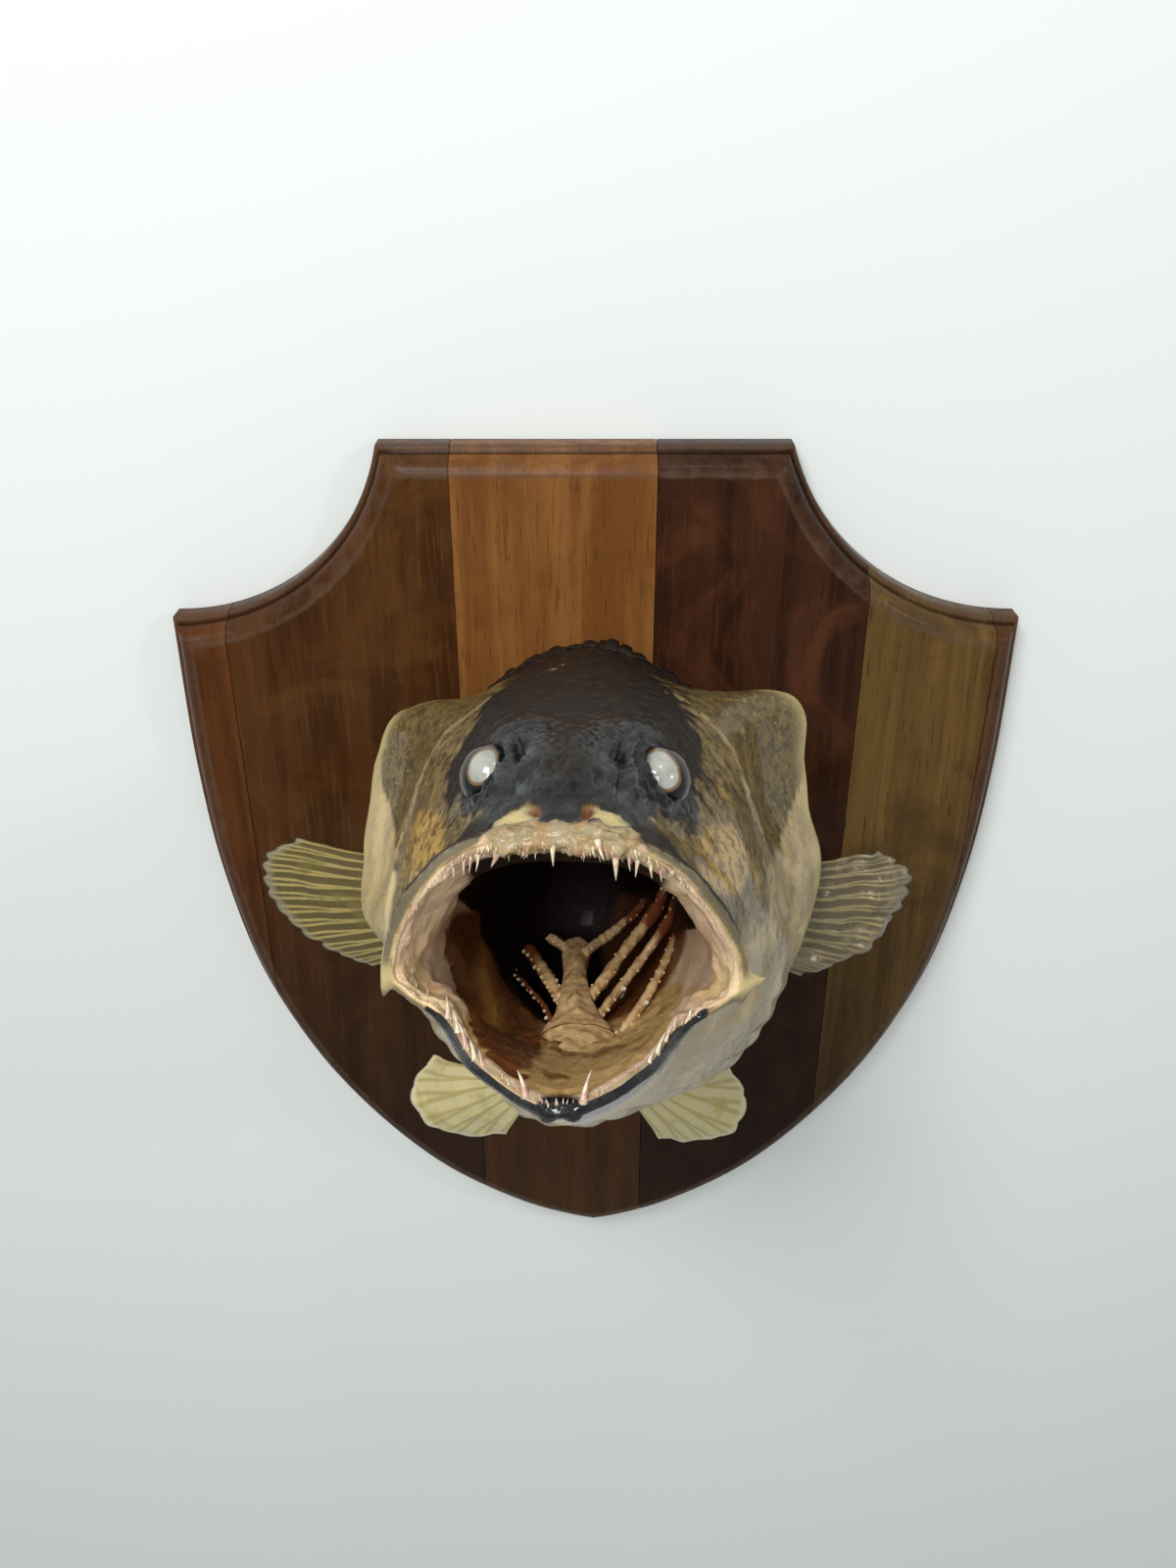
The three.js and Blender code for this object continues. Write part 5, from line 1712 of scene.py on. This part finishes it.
@dataclass
class Fin:
    """A fan of branched and jointed rays with thin, ragged skin between them."""

    name: str
    side: Side
    root: Sequence[Place]
    edge: Sequence[Place]
    rays: int
    bow: float
    stretch: float
    crumple: float = 0.6
    web: float = 0.17  # half thickness of the skin
    ray: float = 0.75  # half thickness of a ray at its root
    seed: float = 0.0
    steps: int = 12  # columns from ray to ray
    rows: int = 60

    def surface(self) -> tuple[Array, Array, Array, Array]:
        """The fin's middle surface.

        Returns:
            Places by row and column, the normal, the share along each ray and the place across in rays.
        """
        root = np.asarray(self.root, float)
        start = root[0, 0]
        edge = np.array([(start + (x - start) * self.stretch, s, h) for x, s, h in self.edge])
        columns = self.steps * (self.rays - 1) + 1
        u = np.linspace(0, 1, columns)
        tips = curve(edge, columns)
        roots = root[0] + u[:, None] * (root[1] - root[0])
        across = u * (self.rays - 1)
        between = np.abs(across - np.round(across)) * 2
        ragged = cloudiness(np.stack([across * 0.9, 0 * u, 0 * u], 1), 1.0, 3, 4.0 + self.seed)
        short = 0.028 * between ** 1.5 + 0.03 * np.clip(ragged, -0.3, 1) * (0.3 + between)
        t = np.linspace(0, 1, self.rows)[:, None] * (1 - short)[None]
        places = roots[None] + t[..., None] * (tips - roots)[None]
        middle = len(edge) // 2
        flip = (1, -1, 1)
        normal = np.cross((edge[middle] - root.mean(axis=0)) * flip, (edge[-1] - edge[0]) * flip)
        normal = unit(normal) * flip
        waves = cloudiness(places.reshape(-1, 3), 13.0, 2, 9.0 + self.seed).reshape(t.shape)
        wave = self.bow * np.sin(math.pi * t) + self.crumple * 2.6 * waves * t
        return places + wave[..., None] * normal, normal, t, across

    def make(self, material: Material) -> Piece:
        """Builds the fin.

        Args:
            material: the piece's finish.

        Returns:
            The piece.
        """
        places, normal, t, across = self.surface()
        fork = 0.20 * smooth(t, 0.35, 0.95)
        gap = np.abs(across - np.round(across))[None]
        thin = 0.10 + 0.03 * (1 - t)
        ridge = np.maximum(hump(gap, fork, thin), hump(gap, -fork, thin))
        joints = 1 + 0.16 * np.cos(t * math.tau * 24) * smooth(t, 0.25, 0.5)
        half = self.web + (self.ray * (1 - 0.72 * t) - self.web) * ridge * joints
        half = half * smooth(1 - t / t[-1:], -0.004, 0.03)
        half[-1] = 0
        half[0] = 0
        front = places + half[..., None] * normal
        back = places - half[..., None] * normal
        rim = smooth(t, 0.86, 1.0)
        order = -self.side.value
        ring, rays, rims = (np.concatenate([one, other[:, ::-1]], axis=1)[:, ::order]
                            for one, other in ((front, back), (ridge, ridge), (rim, rim)))
        bm = grid_bmesh(POSE.world(ring * (self.side.value, 1, 1)), True, {"ray": rays, "rim": rims})
        node = f"{self.name}_fin_{self.side.label}"
        return new_piece(f"{self.name}_rays_{self.side.label}", bm, material, [node])


PECTORAL = {
    "root": [(47, 68, -16), (46, 60, -42)],
    "edge": [(112, 44, -6), (126, 38, -14), (125, 36, -27), (114, 36, -40), (97, 38, -50), (82, 42, -54)],
    "rays": 13, "bow": -2.0,
}
PELVIC = {
    "root": [(12, 84, -86), (23, 78, -86)],
    "edge": [(29, 40, -117), (46, 29, -120.5), (60, 26, -117), (66, 27, -103), (57, 32, -89)],
    "rays": 7, "bow": 2.0,
}
FINS = {
    FinFinish("olive_fin", ray=(0.30, 0.235, 0.075), web=(0.085, 0.063, 0.018),
              stain=(0.13, 0.105, 0.028), rim=(0.22, 0.20, 0.12)):
        [Fin("pectoral", Side.RIGHT, **PECTORAL, stretch=1.0)],
    FinFinish("grey_fin", ray=(0.24, 0.19, 0.09), web=(0.10, 0.08, 0.042),
              stain=(0.21, 0.175, 0.10), rim=(0.17, 0.14, 0.09), roughness=0.16):
        [Fin("pectoral", Side.LEFT, **PECTORAL, stretch=0.94, crumple=1.9, seed=3.0)],
    FinFinish("yellow_fin", ray=(0.40, 0.32, 0.11), web=(0.54, 0.46, 0.22),
              stain=(0.36, 0.29, 0.09), rim=(0.62, 0.56, 0.34)):
        [Fin("pelvic", Side.RIGHT, **PELVIC, stretch=1.06),
         Fin("pelvic", Side.LEFT, **PELVIC, stretch=0.93, seed=2.0)],
}


# -- scales


@dataclass
class Scales:
    """Overlapping scales on the trunk and nape, rooted on the finished skin."""

    skin: Skin
    name: str = "trunk_scales"
    rows: tuple[float, float] = (18.25, 21.9)  # stretch of the skin between its rings
    pitch: float = 5.0  # distance between neighbouring scales, in millimetres
    overlap: float = 0.62  # distance between their rings, in pitches
    samples: int = 241  # places round a ring when its length is measured
    probe: float = 0.05  # step, in rings, when the way backwards is measured
    seed: int = 5

    def roots(self) -> list[tuple[float, float]]:
        """Rows and keys of the scales' roots, in staggered rings from the front backwards.

        Returns:
            The row and key of each scale.
        """
        low, high = self.rows
        found = []
        row, ring = low, 0
        while row < high:
            keys = np.linspace(0, KEYS, self.samples)
            line = self.skin.at(np.full(self.samples, row), keys)
            length = np.linalg.norm(np.diff(line, axis=0), axis=1)
            run = np.concatenate([[0], np.cumsum(length)])
            count = int(run[-1] / self.pitch)
            shift = 0.5 * (ring % 2)
            marks = (np.arange(count) + shift) * run[-1] / count
            found += [(row, key) for key in np.interp(marks, run, keys)]
            ahead = self.skin.at(np.full(self.samples, row + self.probe), keys)
            advance = np.median(np.linalg.norm(ahead - line, axis=1)) / self.probe
            row += self.pitch * self.overlap / max(advance, 5.0)
            ring += 1
        places = POSE.world(self.skin.at(*np.array(found).T))
        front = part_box("stave_3")[0].y
        return [root for root, place in zip(found, places) if place[1] < front]

    def template(self) -> BMesh:
        """One thin flat scale: x from -1 to 1 across, y from 0 to 1 along, z 0 on its outer face.

        Returns:
            The scale.
        """
        bm = bmesh.new()
        bmesh.ops.create_grid(bm, x_segments=4, y_segments=2, size=1.0)
        for vertex in bm.verts:
            vertex.co = (vertex.co.x, (vertex.co.y + 1) / 2, 0)
        bmesh.ops.solidify(bm, geom=bm.faces[:], thickness=1.0)
        return bm

    def make(self, material: Material) -> Piece:
        """Builds the coat of scales as one joined mesh.

        Args:
            material: the piece's finish.

        Returns:
            The piece.
        """
        chance = np.random.default_rng(self.seed)
        roots = np.array(self.roots())
        count = len(roots)
        centre = self.skin.at(roots[:, 0], roots[:, 1])
        aft = unit(self.skin.at(roots[:, 0] + 0.02, roots[:, 1]) - centre)
        side = self.skin.at(roots[:, 0], roots[:, 1] + 0.02) - centre
        side = unit(side - np.sum(side * aft, axis=1, keepdims=True) * aft)
        out = np.cross(side * (1, -1, 1), aft * (1, -1, 1)) * (1, -1, 1)
        mesh, one = repeated(self.name, self.template(), count)
        across, along, layer = one.T
        half = np.sqrt(np.clip(1 - (1.15 * along - 0.35) ** 2, 0.08, 1)) * 0.58 * self.pitch
        size = chance.uniform(0.9, 1.08, (count, 1))
        raised = (0.10 + 0.34 * along + 0.30 * (1 - across ** 2) * (0.4 + 0.6 * along)) * self.pitch * 0.22
        raised = raised - 0.14 * np.abs(layer) + chance.uniform(0, 0.06, (count, 1))
        places = (centre[:, None] + (across * half * size)[..., None] * side[:, None]
                  + (along * 1.25 * self.pitch * size)[..., None] * aft[:, None]
                  + raised[..., None] * out[:, None])
        mesh.vertices.foreach_set("co", POSE.world(places.reshape(-1, 3)).reshape(-1))
        for mark in Mark:
            carry(mesh, mark, np.repeat(self.skin.mark_at(mark, roots[:, 0], roots[:, 1]), len(one)))
        carry(mesh, "scale", np.tile(along, count))
        self.lay_uv(mesh, roots, one)
        return new_piece(self.name, mesh, material)

    def lay_uv(self, mesh: Mesh, roots: Array, one: Array) -> None:
        """Gives each scale a small UV patch at its root's key and row, spread over the rows that the scales
        cover.

        Args:
            mesh: the joined scales.
            roots: rows and keys of the scales' roots.
            one: the points of one scale.
        """
        corner = np.empty(len(mesh.loops), int)
        mesh.loops.foreach_get("vertex_index", corner)
        item, point = corner // len(one), corner % len(one)
        low, high = self.rows
        u = roots[item, 1] / KEYS + 0.0015 * one[point, 0]
        v = (roots[item, 0] - low) / (high - low) + 0.0015 * (2 * one[point, 1] - 1)
        layer = mesh.uv_layers.new(name="OFBake")
        layer.uv.foreach_set("vector", np.stack([u, v], 1).reshape(-1))


# -- board


@dataclass(frozen=True)
class WoodFinish:
    """Varnished walnut or the like, with upright grain, and painted shade towards the bottom and in the
    hollows of the edge.
    """

    slot: str
    early: Colour
    late: Colour
    streak: Colour
    figure: float = 0.5  # strength of cloudy figure
    seed: float = 0.0
    dust: Colour = (0.085, 0.052, 0.032)
    # dark of the pores, and of the painted shade towards the bottom and in the hollows
    shade: Colour = (0.012, 0.006, 0.0035)

    def make(self, name: str) -> Material:
        """Builds the material.

        Args:
            name: the material's name.

        Returns:
            The material.
        """
        shader = Shader(name)
        grain = shader.node("Mapping", {}, {"Vector": shader.node("TexCoord", output="Object"),
                                            "Scale": (1.0, 1.0, 0.055), "Location": (self.seed, 0.0, 0.0)})
        bands = shader.clouds(0.011, 4, 0.55, grain, 0.8)
        fibres = shader.clouds(0.0014, 3, 0.6, grain)
        pores = shader.clouds(0.0007, 2, 0.5, grain)
        figure = shader.clouds(0.045, 4, 0.6, distortion=1.2)
        colour = shader.mix(bands.ramp(0.36, 0.64), self.early, self.late)
        colour = shader.mix(figure.ramp(0.45, 0.70) * self.figure, colour, self.streak)
        colour = shader.mix(fibres.ramp(0.52, 0.74) * 0.55, colour, self.streak)
        colour = shader.mix(pores.ramp(0.62, 0.74) * 0.5, colour, self.shade)
        # painted shade: darker towards the bottom of the board
        level = shader.node("SeparateXYZ", {}, {0: shader.node("TexCoord", output="Object")}, output=2)
        colour = shader.mix((1.0 - level.ramp(-0.17, 0.10)) * 0.8, colour, self.shade)
        smudge = shader.clouds(0.006, 4, 0.65)
        worn = shader.mark("arris").ragged(smudge, 0.9, 0.45, 1.0)
        colour = shader.mix(worn * 0.75, colour, self.dust)
        # painted shade in the hollows of the moulded edge
        hollow_shade = shader.mark("hollow").ragged(smudge, 0.4, 0.3, 0.9)
        colour = shader.mix(hollow_shade * 0.7, colour, self.shade)
        height = bands * 0.25 + fibres * 0.45 + pores * 0.5
        roughness = 0.26 + fibres.ramp(0.4, 0.8) * 0.14 + worn * 0.3
        return shader.finish(base_color=colour, roughness=roughness, coat_weight=0.05, coat_roughness=0.15,
                             specular_ior_level=0.06, normal=shader.bump(height, 0.0003, 0.45))


WOODS = [
    WoodFinish("wood_red_brown", (0.105, 0.036, 0.009), (0.070, 0.022, 0.006),
               (0.040, 0.012, 0.004), 0.4, 0.3),
    WoodFinish("wood_dark_brown", (0.066, 0.024, 0.007), (0.040, 0.014, 0.004),
               (0.115, 0.048, 0.012), 0.4, 1.7),
    WoodFinish("wood_light_brown", (0.215, 0.090, 0.024), (0.140, 0.052, 0.013),
               (0.085, 0.029, 0.008), 0.35, 3.1),
    WoodFinish("wood_purple_brown", (0.038, 0.014, 0.006), (0.022, 0.008, 0.004),
               (0.078, 0.026, 0.011), 0.8, 4.4),
    WoodFinish("wood_tan", (0.140, 0.078, 0.022), (0.088, 0.048, 0.014),
               (0.042, 0.023, 0.008), 0.65, 5.9),
    WoodFinish("wood_red_brown", (0.100, 0.044, 0.015), (0.065, 0.025, 0.009),
               (0.046, 0.016, 0.006), 0.4, 7.2),
]


@dataclass
class Board:
    """A shield of six glued staves with a moulded edge and a sunk place for the hanger."""

    half_height: float = 194.0
    side_half: float = 163.0
    ear_height: float = 128.0
    ear_flat: float = 1.0
    cove_radii: tuple[float, float] = (95.0, 84.0)  # at +X and at -X
    flank: tuple[tuple[float, float], ...] = (
        (163, 64), (159, 12), (147, -45), (121, -101), (79, -153), (38, -181), (14, -190.5))
    joints: tuple[float, ...] = (-141.0, -53.0, 22.0, 102.5, 153.0)
    gap: float = 0.3  # between neighbouring staves
    far: float = 999.0  # beyond either side
    run_points: tuple[int, ...] = (25, 42, 110, 110, 42)
    sharp: float = 40.0  # degrees from which an edge is drawn sharp
    recess: Place = (26.3, 3.0, 6.3)  # half width, depth and half height
    recess_height: float = 150.0
    # Section of the edge as (inset, depth from the back, worn, painted shade in the hollow).
    section: tuple[tuple[float, float, float, float], ...] = (
        (0.9, 0.0, 0.2, 0.4), (0.25, 0.3, 0.6, 0.1), (0.0, 1.0, 0.8, 0.0), (0.0, 5.0, 0.45, 0.1),
        (0.0, 9.8, 0.6, 0.0), (0.2, 10.6, 0.95, 0.0), (0.9, 11.0, 0.9, 0.0), (2.0, 11.05, 0.4, 0.7),
        (2.5, 11.3, 0.0, 1.0), (2.5, 12.3, 0.1, 0.8), (2.75, 14.2, 0.4, 0.2), (3.6, 16.3, 0.55, 0.0),
        (5.0, 18.1, 0.6, 0.0), (6.9, 19.35, 0.6, 0.0), (8.8, 19.9, 0.85, 0.0), (10.0, 20.0, 0.5, 0.0),
        (11.5, 20.0, 0.0, 0.0),
    )

    def runs(self) -> list[Array]:
        """The shield's outline as smooth runs of (x, z), clockwise seen from the front.

        Returns:
            The runs, from the top edge round to it again.
        """
        left, right = (self.cove(radius) for radius in self.cove_radii)
        flank = curve([(self.side_half, self.ear_height), *self.flank, (0.0, -self.half_height)], 106)
        top = np.array([right[0] * (-1, 1), left[0]])
        return [top, left, flank, flank[::-1] * (-1, 1), right[::-1] * (-1, 1)]

    def cove(self, radius: float) -> Array:
        """A hollow shoulder as (x, z) from the top edge to the ear, on the +X side.

        Args:
            radius: the hollow's radius.

        Returns:
            The points.
        """
        centre = np.array([self.side_half - self.ear_flat, self.ear_height + radius])
        rise = self.half_height - centre[1]
        start = math.atan2(rise, -math.sqrt(radius ** 2 - rise ** 2))
        angles = np.linspace(start, -math.pi / 2, 40)
        curve = centre + radius * np.stack([np.cos(angles), np.sin(angles)], 1)
        return np.vstack([curve, [(self.side_half, self.ear_height)]])

    @staticmethod
    def crossing(first: Array, second: Array) -> tuple[float, float]:
        """Where one run crosses the next, counted in points along each.

        Args:
            first: points of the first run.
            second: points of the next one.

        Returns:
            The two places; the nearest ends if they do not cross.
        """
        d1, d2 = np.diff(first, axis=0)[:, None], np.diff(second, axis=0)[None]
        gap = second[None, :-1] - first[:-1, None]
        area = d1[..., 0] * d2[..., 1] - d1[..., 1] * d2[..., 0]
        area = np.where(np.abs(area) < 1e-9, 1e-9, area)
        a = (gap[..., 0] * d2[..., 1] - gap[..., 1] * d2[..., 0]) / area
        b = (gap[..., 0] * d1[..., 1] - gap[..., 1] * d1[..., 0]) / area
        hits = np.argwhere((a > -0.01) & (a < 1.01) & (b > -0.01) & (b < 1.01))
        if not len(hits):
            return len(first) - 1.0, 0.0
        i, j = max(hits, key=lambda hit: hit[0] - hit[1])
        return i + float(a[i, j]), j + float(b[i, j])

    def inset(self, distance: float) -> Array:
        """The outline moved inwards by a distance, with its corners kept sharp.

        Args:
            distance: how far it moves, in millimetres.

        Returns:
            The points of the whole outline.
        """
        moved = []
        for run in self.runs():
            along = np.gradient(run, axis=0)
            inwards = np.stack([along[:, 1], -along[:, 0]], 1)
            moved.append(run + distance * unit(inwards))
        cuts = [self.crossing(run, moved[(i + 1) % len(moved)]) for i, run in enumerate(moved)]
        rings = []
        for i, (run, count) in enumerate(zip(moved, self.run_points)):
            places = np.linspace(cuts[i - 1][1], cuts[i][0], count)[:-1]
            rings.append(np.stack([np.interp(places, np.arange(len(run)), side) for side in run.T], 1))
        return np.vstack(rings)

    def whole(self) -> BMesh:
        """The board before it is parted into staves.

        Returns:
            The closed mesh, with worn arrises and the hollows' painted shade marked.
        """
        rings = []
        for inset, depth, _, _ in self.section:
            flat = self.inset(inset)
            rings.append(np.stack([flat[:, 0], np.full(len(flat), -depth), flat[:, 1]], 1) * MM)
        marks = {"arris": np.array([[row[2]] for row in self.section]),
                 "hollow": np.array([[row[3]] for row in self.section])}
        bm = grid_bmesh(np.array(rings), True, marks)
        fill_holes(bm)
        self.sink_hanger(bm)
        bmesh.ops.recalc_face_normals(bm, faces=bm.faces)
        return bm

    @staticmethod
    def back_faces(bm: BMesh) -> list[bmesh.types.BMFace]:
        """The faces that lie flat against the wall."""
        return [face for face in bm.faces if all(abs(corner.co.y) < MM * MM for corner in face.verts)]

    def sink_hanger(self, bm: BMesh) -> None:
        """Sinks a flat recess for the hanger in the back.

        Args:
            bm: the board under construction.
        """
        width, depth, height = self.recess
        for place, direction in (((-width, 0, 0), (1, 0, 0)), ((width, 0, 0), (1, 0, 0)),
                                 ((0, 0, self.recess_height - height), (0, 0, 1)),
                                 ((0, 0, self.recess_height + height), (0, 0, 1))):
            back = self.back_faces(bm)
            edges = {edge for face in back for edge in face.edges}
            points = {vertex for face in back for vertex in face.verts}
            geometry = [*back, *edges, *points]
            bmesh.ops.bisect_plane(bm, geom=geometry, plane_co=Vector(place) * MM, plane_no=direction)
        middle = Vector((0, 0, self.recess_height * MM))
        chosen = min(self.back_faces(bm), key=lambda face: (face.calc_center_median() - middle).length)
        made = bmesh.ops.extrude_face_region(bm, geom=[chosen])["geom"]
        floor = [item for item in made if isinstance(item, bmesh.types.BMVert)]
        bmesh.ops.translate(bm, verts=floor, vec=(0, -depth * MM, 0))
        if chosen.is_valid:
            bmesh.ops.delete(bm, geom=[chosen], context="FACES_ONLY")

    def make(self) -> None:
        """Parts the board into its staves."""
        whole = self.whole()
        edges = [-self.far, *self.joints, self.far]
        for number, (low, high, wood) in enumerate(zip(edges, edges[1:], WOODS), start=1):
            bm = whole.copy()
            for x, direction in ((low + self.gap / 2, -1), (high - self.gap / 2, 1)):
                cut_off(bm, (x * MM, 0, 0), (direction, 0, 0))
            node = f"stave_{number}"
            piece = new_piece(f"board_{number}", bm, wood.make(f"{wood.slot}_{number}"), [node])
            piece.data.set_sharp_from_angle(angle=math.radians(self.sharp))
        whole.free()


@dataclass(frozen=True)
class SteelFinish:
    """Dull stamped steel with a little rust."""

    steel: Colour = (0.42, 0.41, 0.39)
    rust: Colour = (0.17, 0.075, 0.03)

    def dress(self, *nodes: str) -> None:
        """Gives these nodes of the frame the finish."""
        steel = self.make()
        for node in nodes:
            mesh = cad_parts[node].data
            mesh.materials.clear()
            mesh.materials.append(steel)

    def make(self) -> Material:
        """Builds the material.

        Returns:
            The material.
        """
        shader = Shader("dull_steel")
        spots = shader.clouds(0.0016, 4, 0.6)
        share = spots.ramp(0.58, 0.70)
        colour = shader.mix(share, self.steel, self.rust)
        return shader.finish(base_color=colour, metallic=0.75 - share * 0.6, roughness=0.35 + share * 0.4,
                             normal=shader.bump(spots, 0.0001, 0.4))




# -- studio


@dataclass
class Studio:
    """Pale wall and floor, soft lamps and the camera."""

    camera_place: Place = (-0.003, -0.4709, 0.3089)
    camera_fall: float = 28.9  # degrees that the camera looks down
    lens: float = 29.25
    sensor: float = 36.0
    paint: Colour = (0.715, 0.74, 0.715)
    daylight: Colour = (0.93, 0.96, 1.0)
    daylight_strength: float = 0.40
    wall_gap: float = 0.001  # between the board's back and the wall
    floor_level: float = -1.0
    half_size: float = 3.0
    target: Place = (0, -0.1, 0.05)  # where the lamps aim
    # Each lamp's name, place, size in metres and power in watts.
    lamps: tuple[tuple[str, Place, float, float], ...] = (
        ("key_lamp", (-0.45, -1.05, 1.20), 0.45, 16.5), ("fill_lamp", (-0.12, -0.95, 0.60), 0.3, 3.6),
        ("side_lamp", (1.0, -0.9, 0.75), 0.14, 2.2), ("top_lamp", (0.12, -0.45, 1.0), 0.06, 0.5))

    def floor_paint(self) -> Material:
        """A matt pale finish."""
        shader = Shader("floor_paint")
        return shader.close(shader.node("BsdfDiffuse", {}, {"Color": self.paint}))

    def wall_paint(self) -> Material:
        """The same finish, shown from the front alone; it lets light reach the board's back.

        Returns:
            The material.
        """
        shader = Shader("wall_paint")
        pale = shader.node("BsdfDiffuse", {}, {"Color": self.paint})
        clear = shader.node("BsdfTransparent")
        seen = (shader.node("LightPath", output="Is Camera Ray")
                + shader.node("LightPath", output="Is Glossy Ray"))
        behind = shader.node("NewGeometry", output="Backfacing")
        unseen = 1.0 - seen * (1.0 - behind)
        return shader.close(shader.node("MixShader", {}, {0: unseen, 1: pale, 2: clear}))

    def plane(self, name: str, matrix: Matrix, material: Material) -> None:
        """A large square behind or under the object.

        Args:
            name: the square's name.
            matrix: where it lies.
            material: its finish.
        """
        bm = bmesh.new()
        bmesh.ops.create_grid(bm, x_segments=1, y_segments=1, size=self.half_size, matrix=matrix)
        mesh = mesh_of(name, bm)
        mesh.materials.append(material)
        placed(name, mesh)

    def lamp(self, name: str, place: Place, size: float, power: float) -> None:
        """A square soft lamp aimed at the object.

        Args:
            name: the lamp's name.
            place: where it stands.
            size: its width in metres.
            power: its power in watts.
        """
        data = bpy.data.lights.new(name, "AREA")
        data.shape = "SQUARE"
        data.size = size
        data.energy = power
        lamp = placed(name, data)
        lamp.location = place
        lamp.rotation_euler = (Vector(self.target) - Vector(place)).to_track_quat("-Z", "Y").to_euler()

    def build(self) -> None:
        """Sets up everything round the object."""
        scene = bpy.context.scene
        scene.view_settings.view_transform = "Standard"
        upright = Matrix.Rotation(math.pi / 2, 4, "X")
        middle = self.floor_level + self.half_size
        self.plane("wall", Matrix.Translation((0, self.wall_gap, middle)) @ upright, self.wall_paint())
        forwards = self.wall_gap - self.half_size
        self.plane("floor", Matrix.Translation((0, forwards, self.floor_level)), self.floor_paint())
        scene.world = bpy.data.worlds.new("studio")
        scene.world.use_nodes = True
        background = scene.world.node_tree.nodes["Background"]
        background.inputs["Color"].default_value = (*self.daylight, 1.0)
        background.inputs["Strength"].default_value = self.daylight_strength
        for lamp in self.lamps:
            self.lamp(*lamp)
        data = bpy.data.cameras.new("camera")
        data.lens = self.lens
        data.sensor_width = self.sensor
        scene.camera = placed("camera", data)
        scene.camera.location = self.camera_place
        scene.camera.rotation_euler = (math.radians(90 - self.camera_fall), 0, 0)


# -- everything


def main() -> None:
    """Builds the trophy round the frame; each piece is reported as it is made."""
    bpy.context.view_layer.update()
    Studio().build()
    varnish = FishSkinFinish().make()
    skin = Skin(SkinForm())
    skin.make(varnish)
    Scales(skin).make(varnish)
    for eye in EYES:
        eye.make(EyeFinish())
    Teeth(skin).make(ToothFinish().make())
    Throat().make(ArchFinish().make())
    for finish, fins in FINS.items():
        material = finish.make()
        for fin in fins:
            fin.make(material)
    Board().make()
    SteelFinish().dress("hanger_strip", "hanger_nail_left", "hanger_nail_right")


if __name__ == "__main__":
    main()
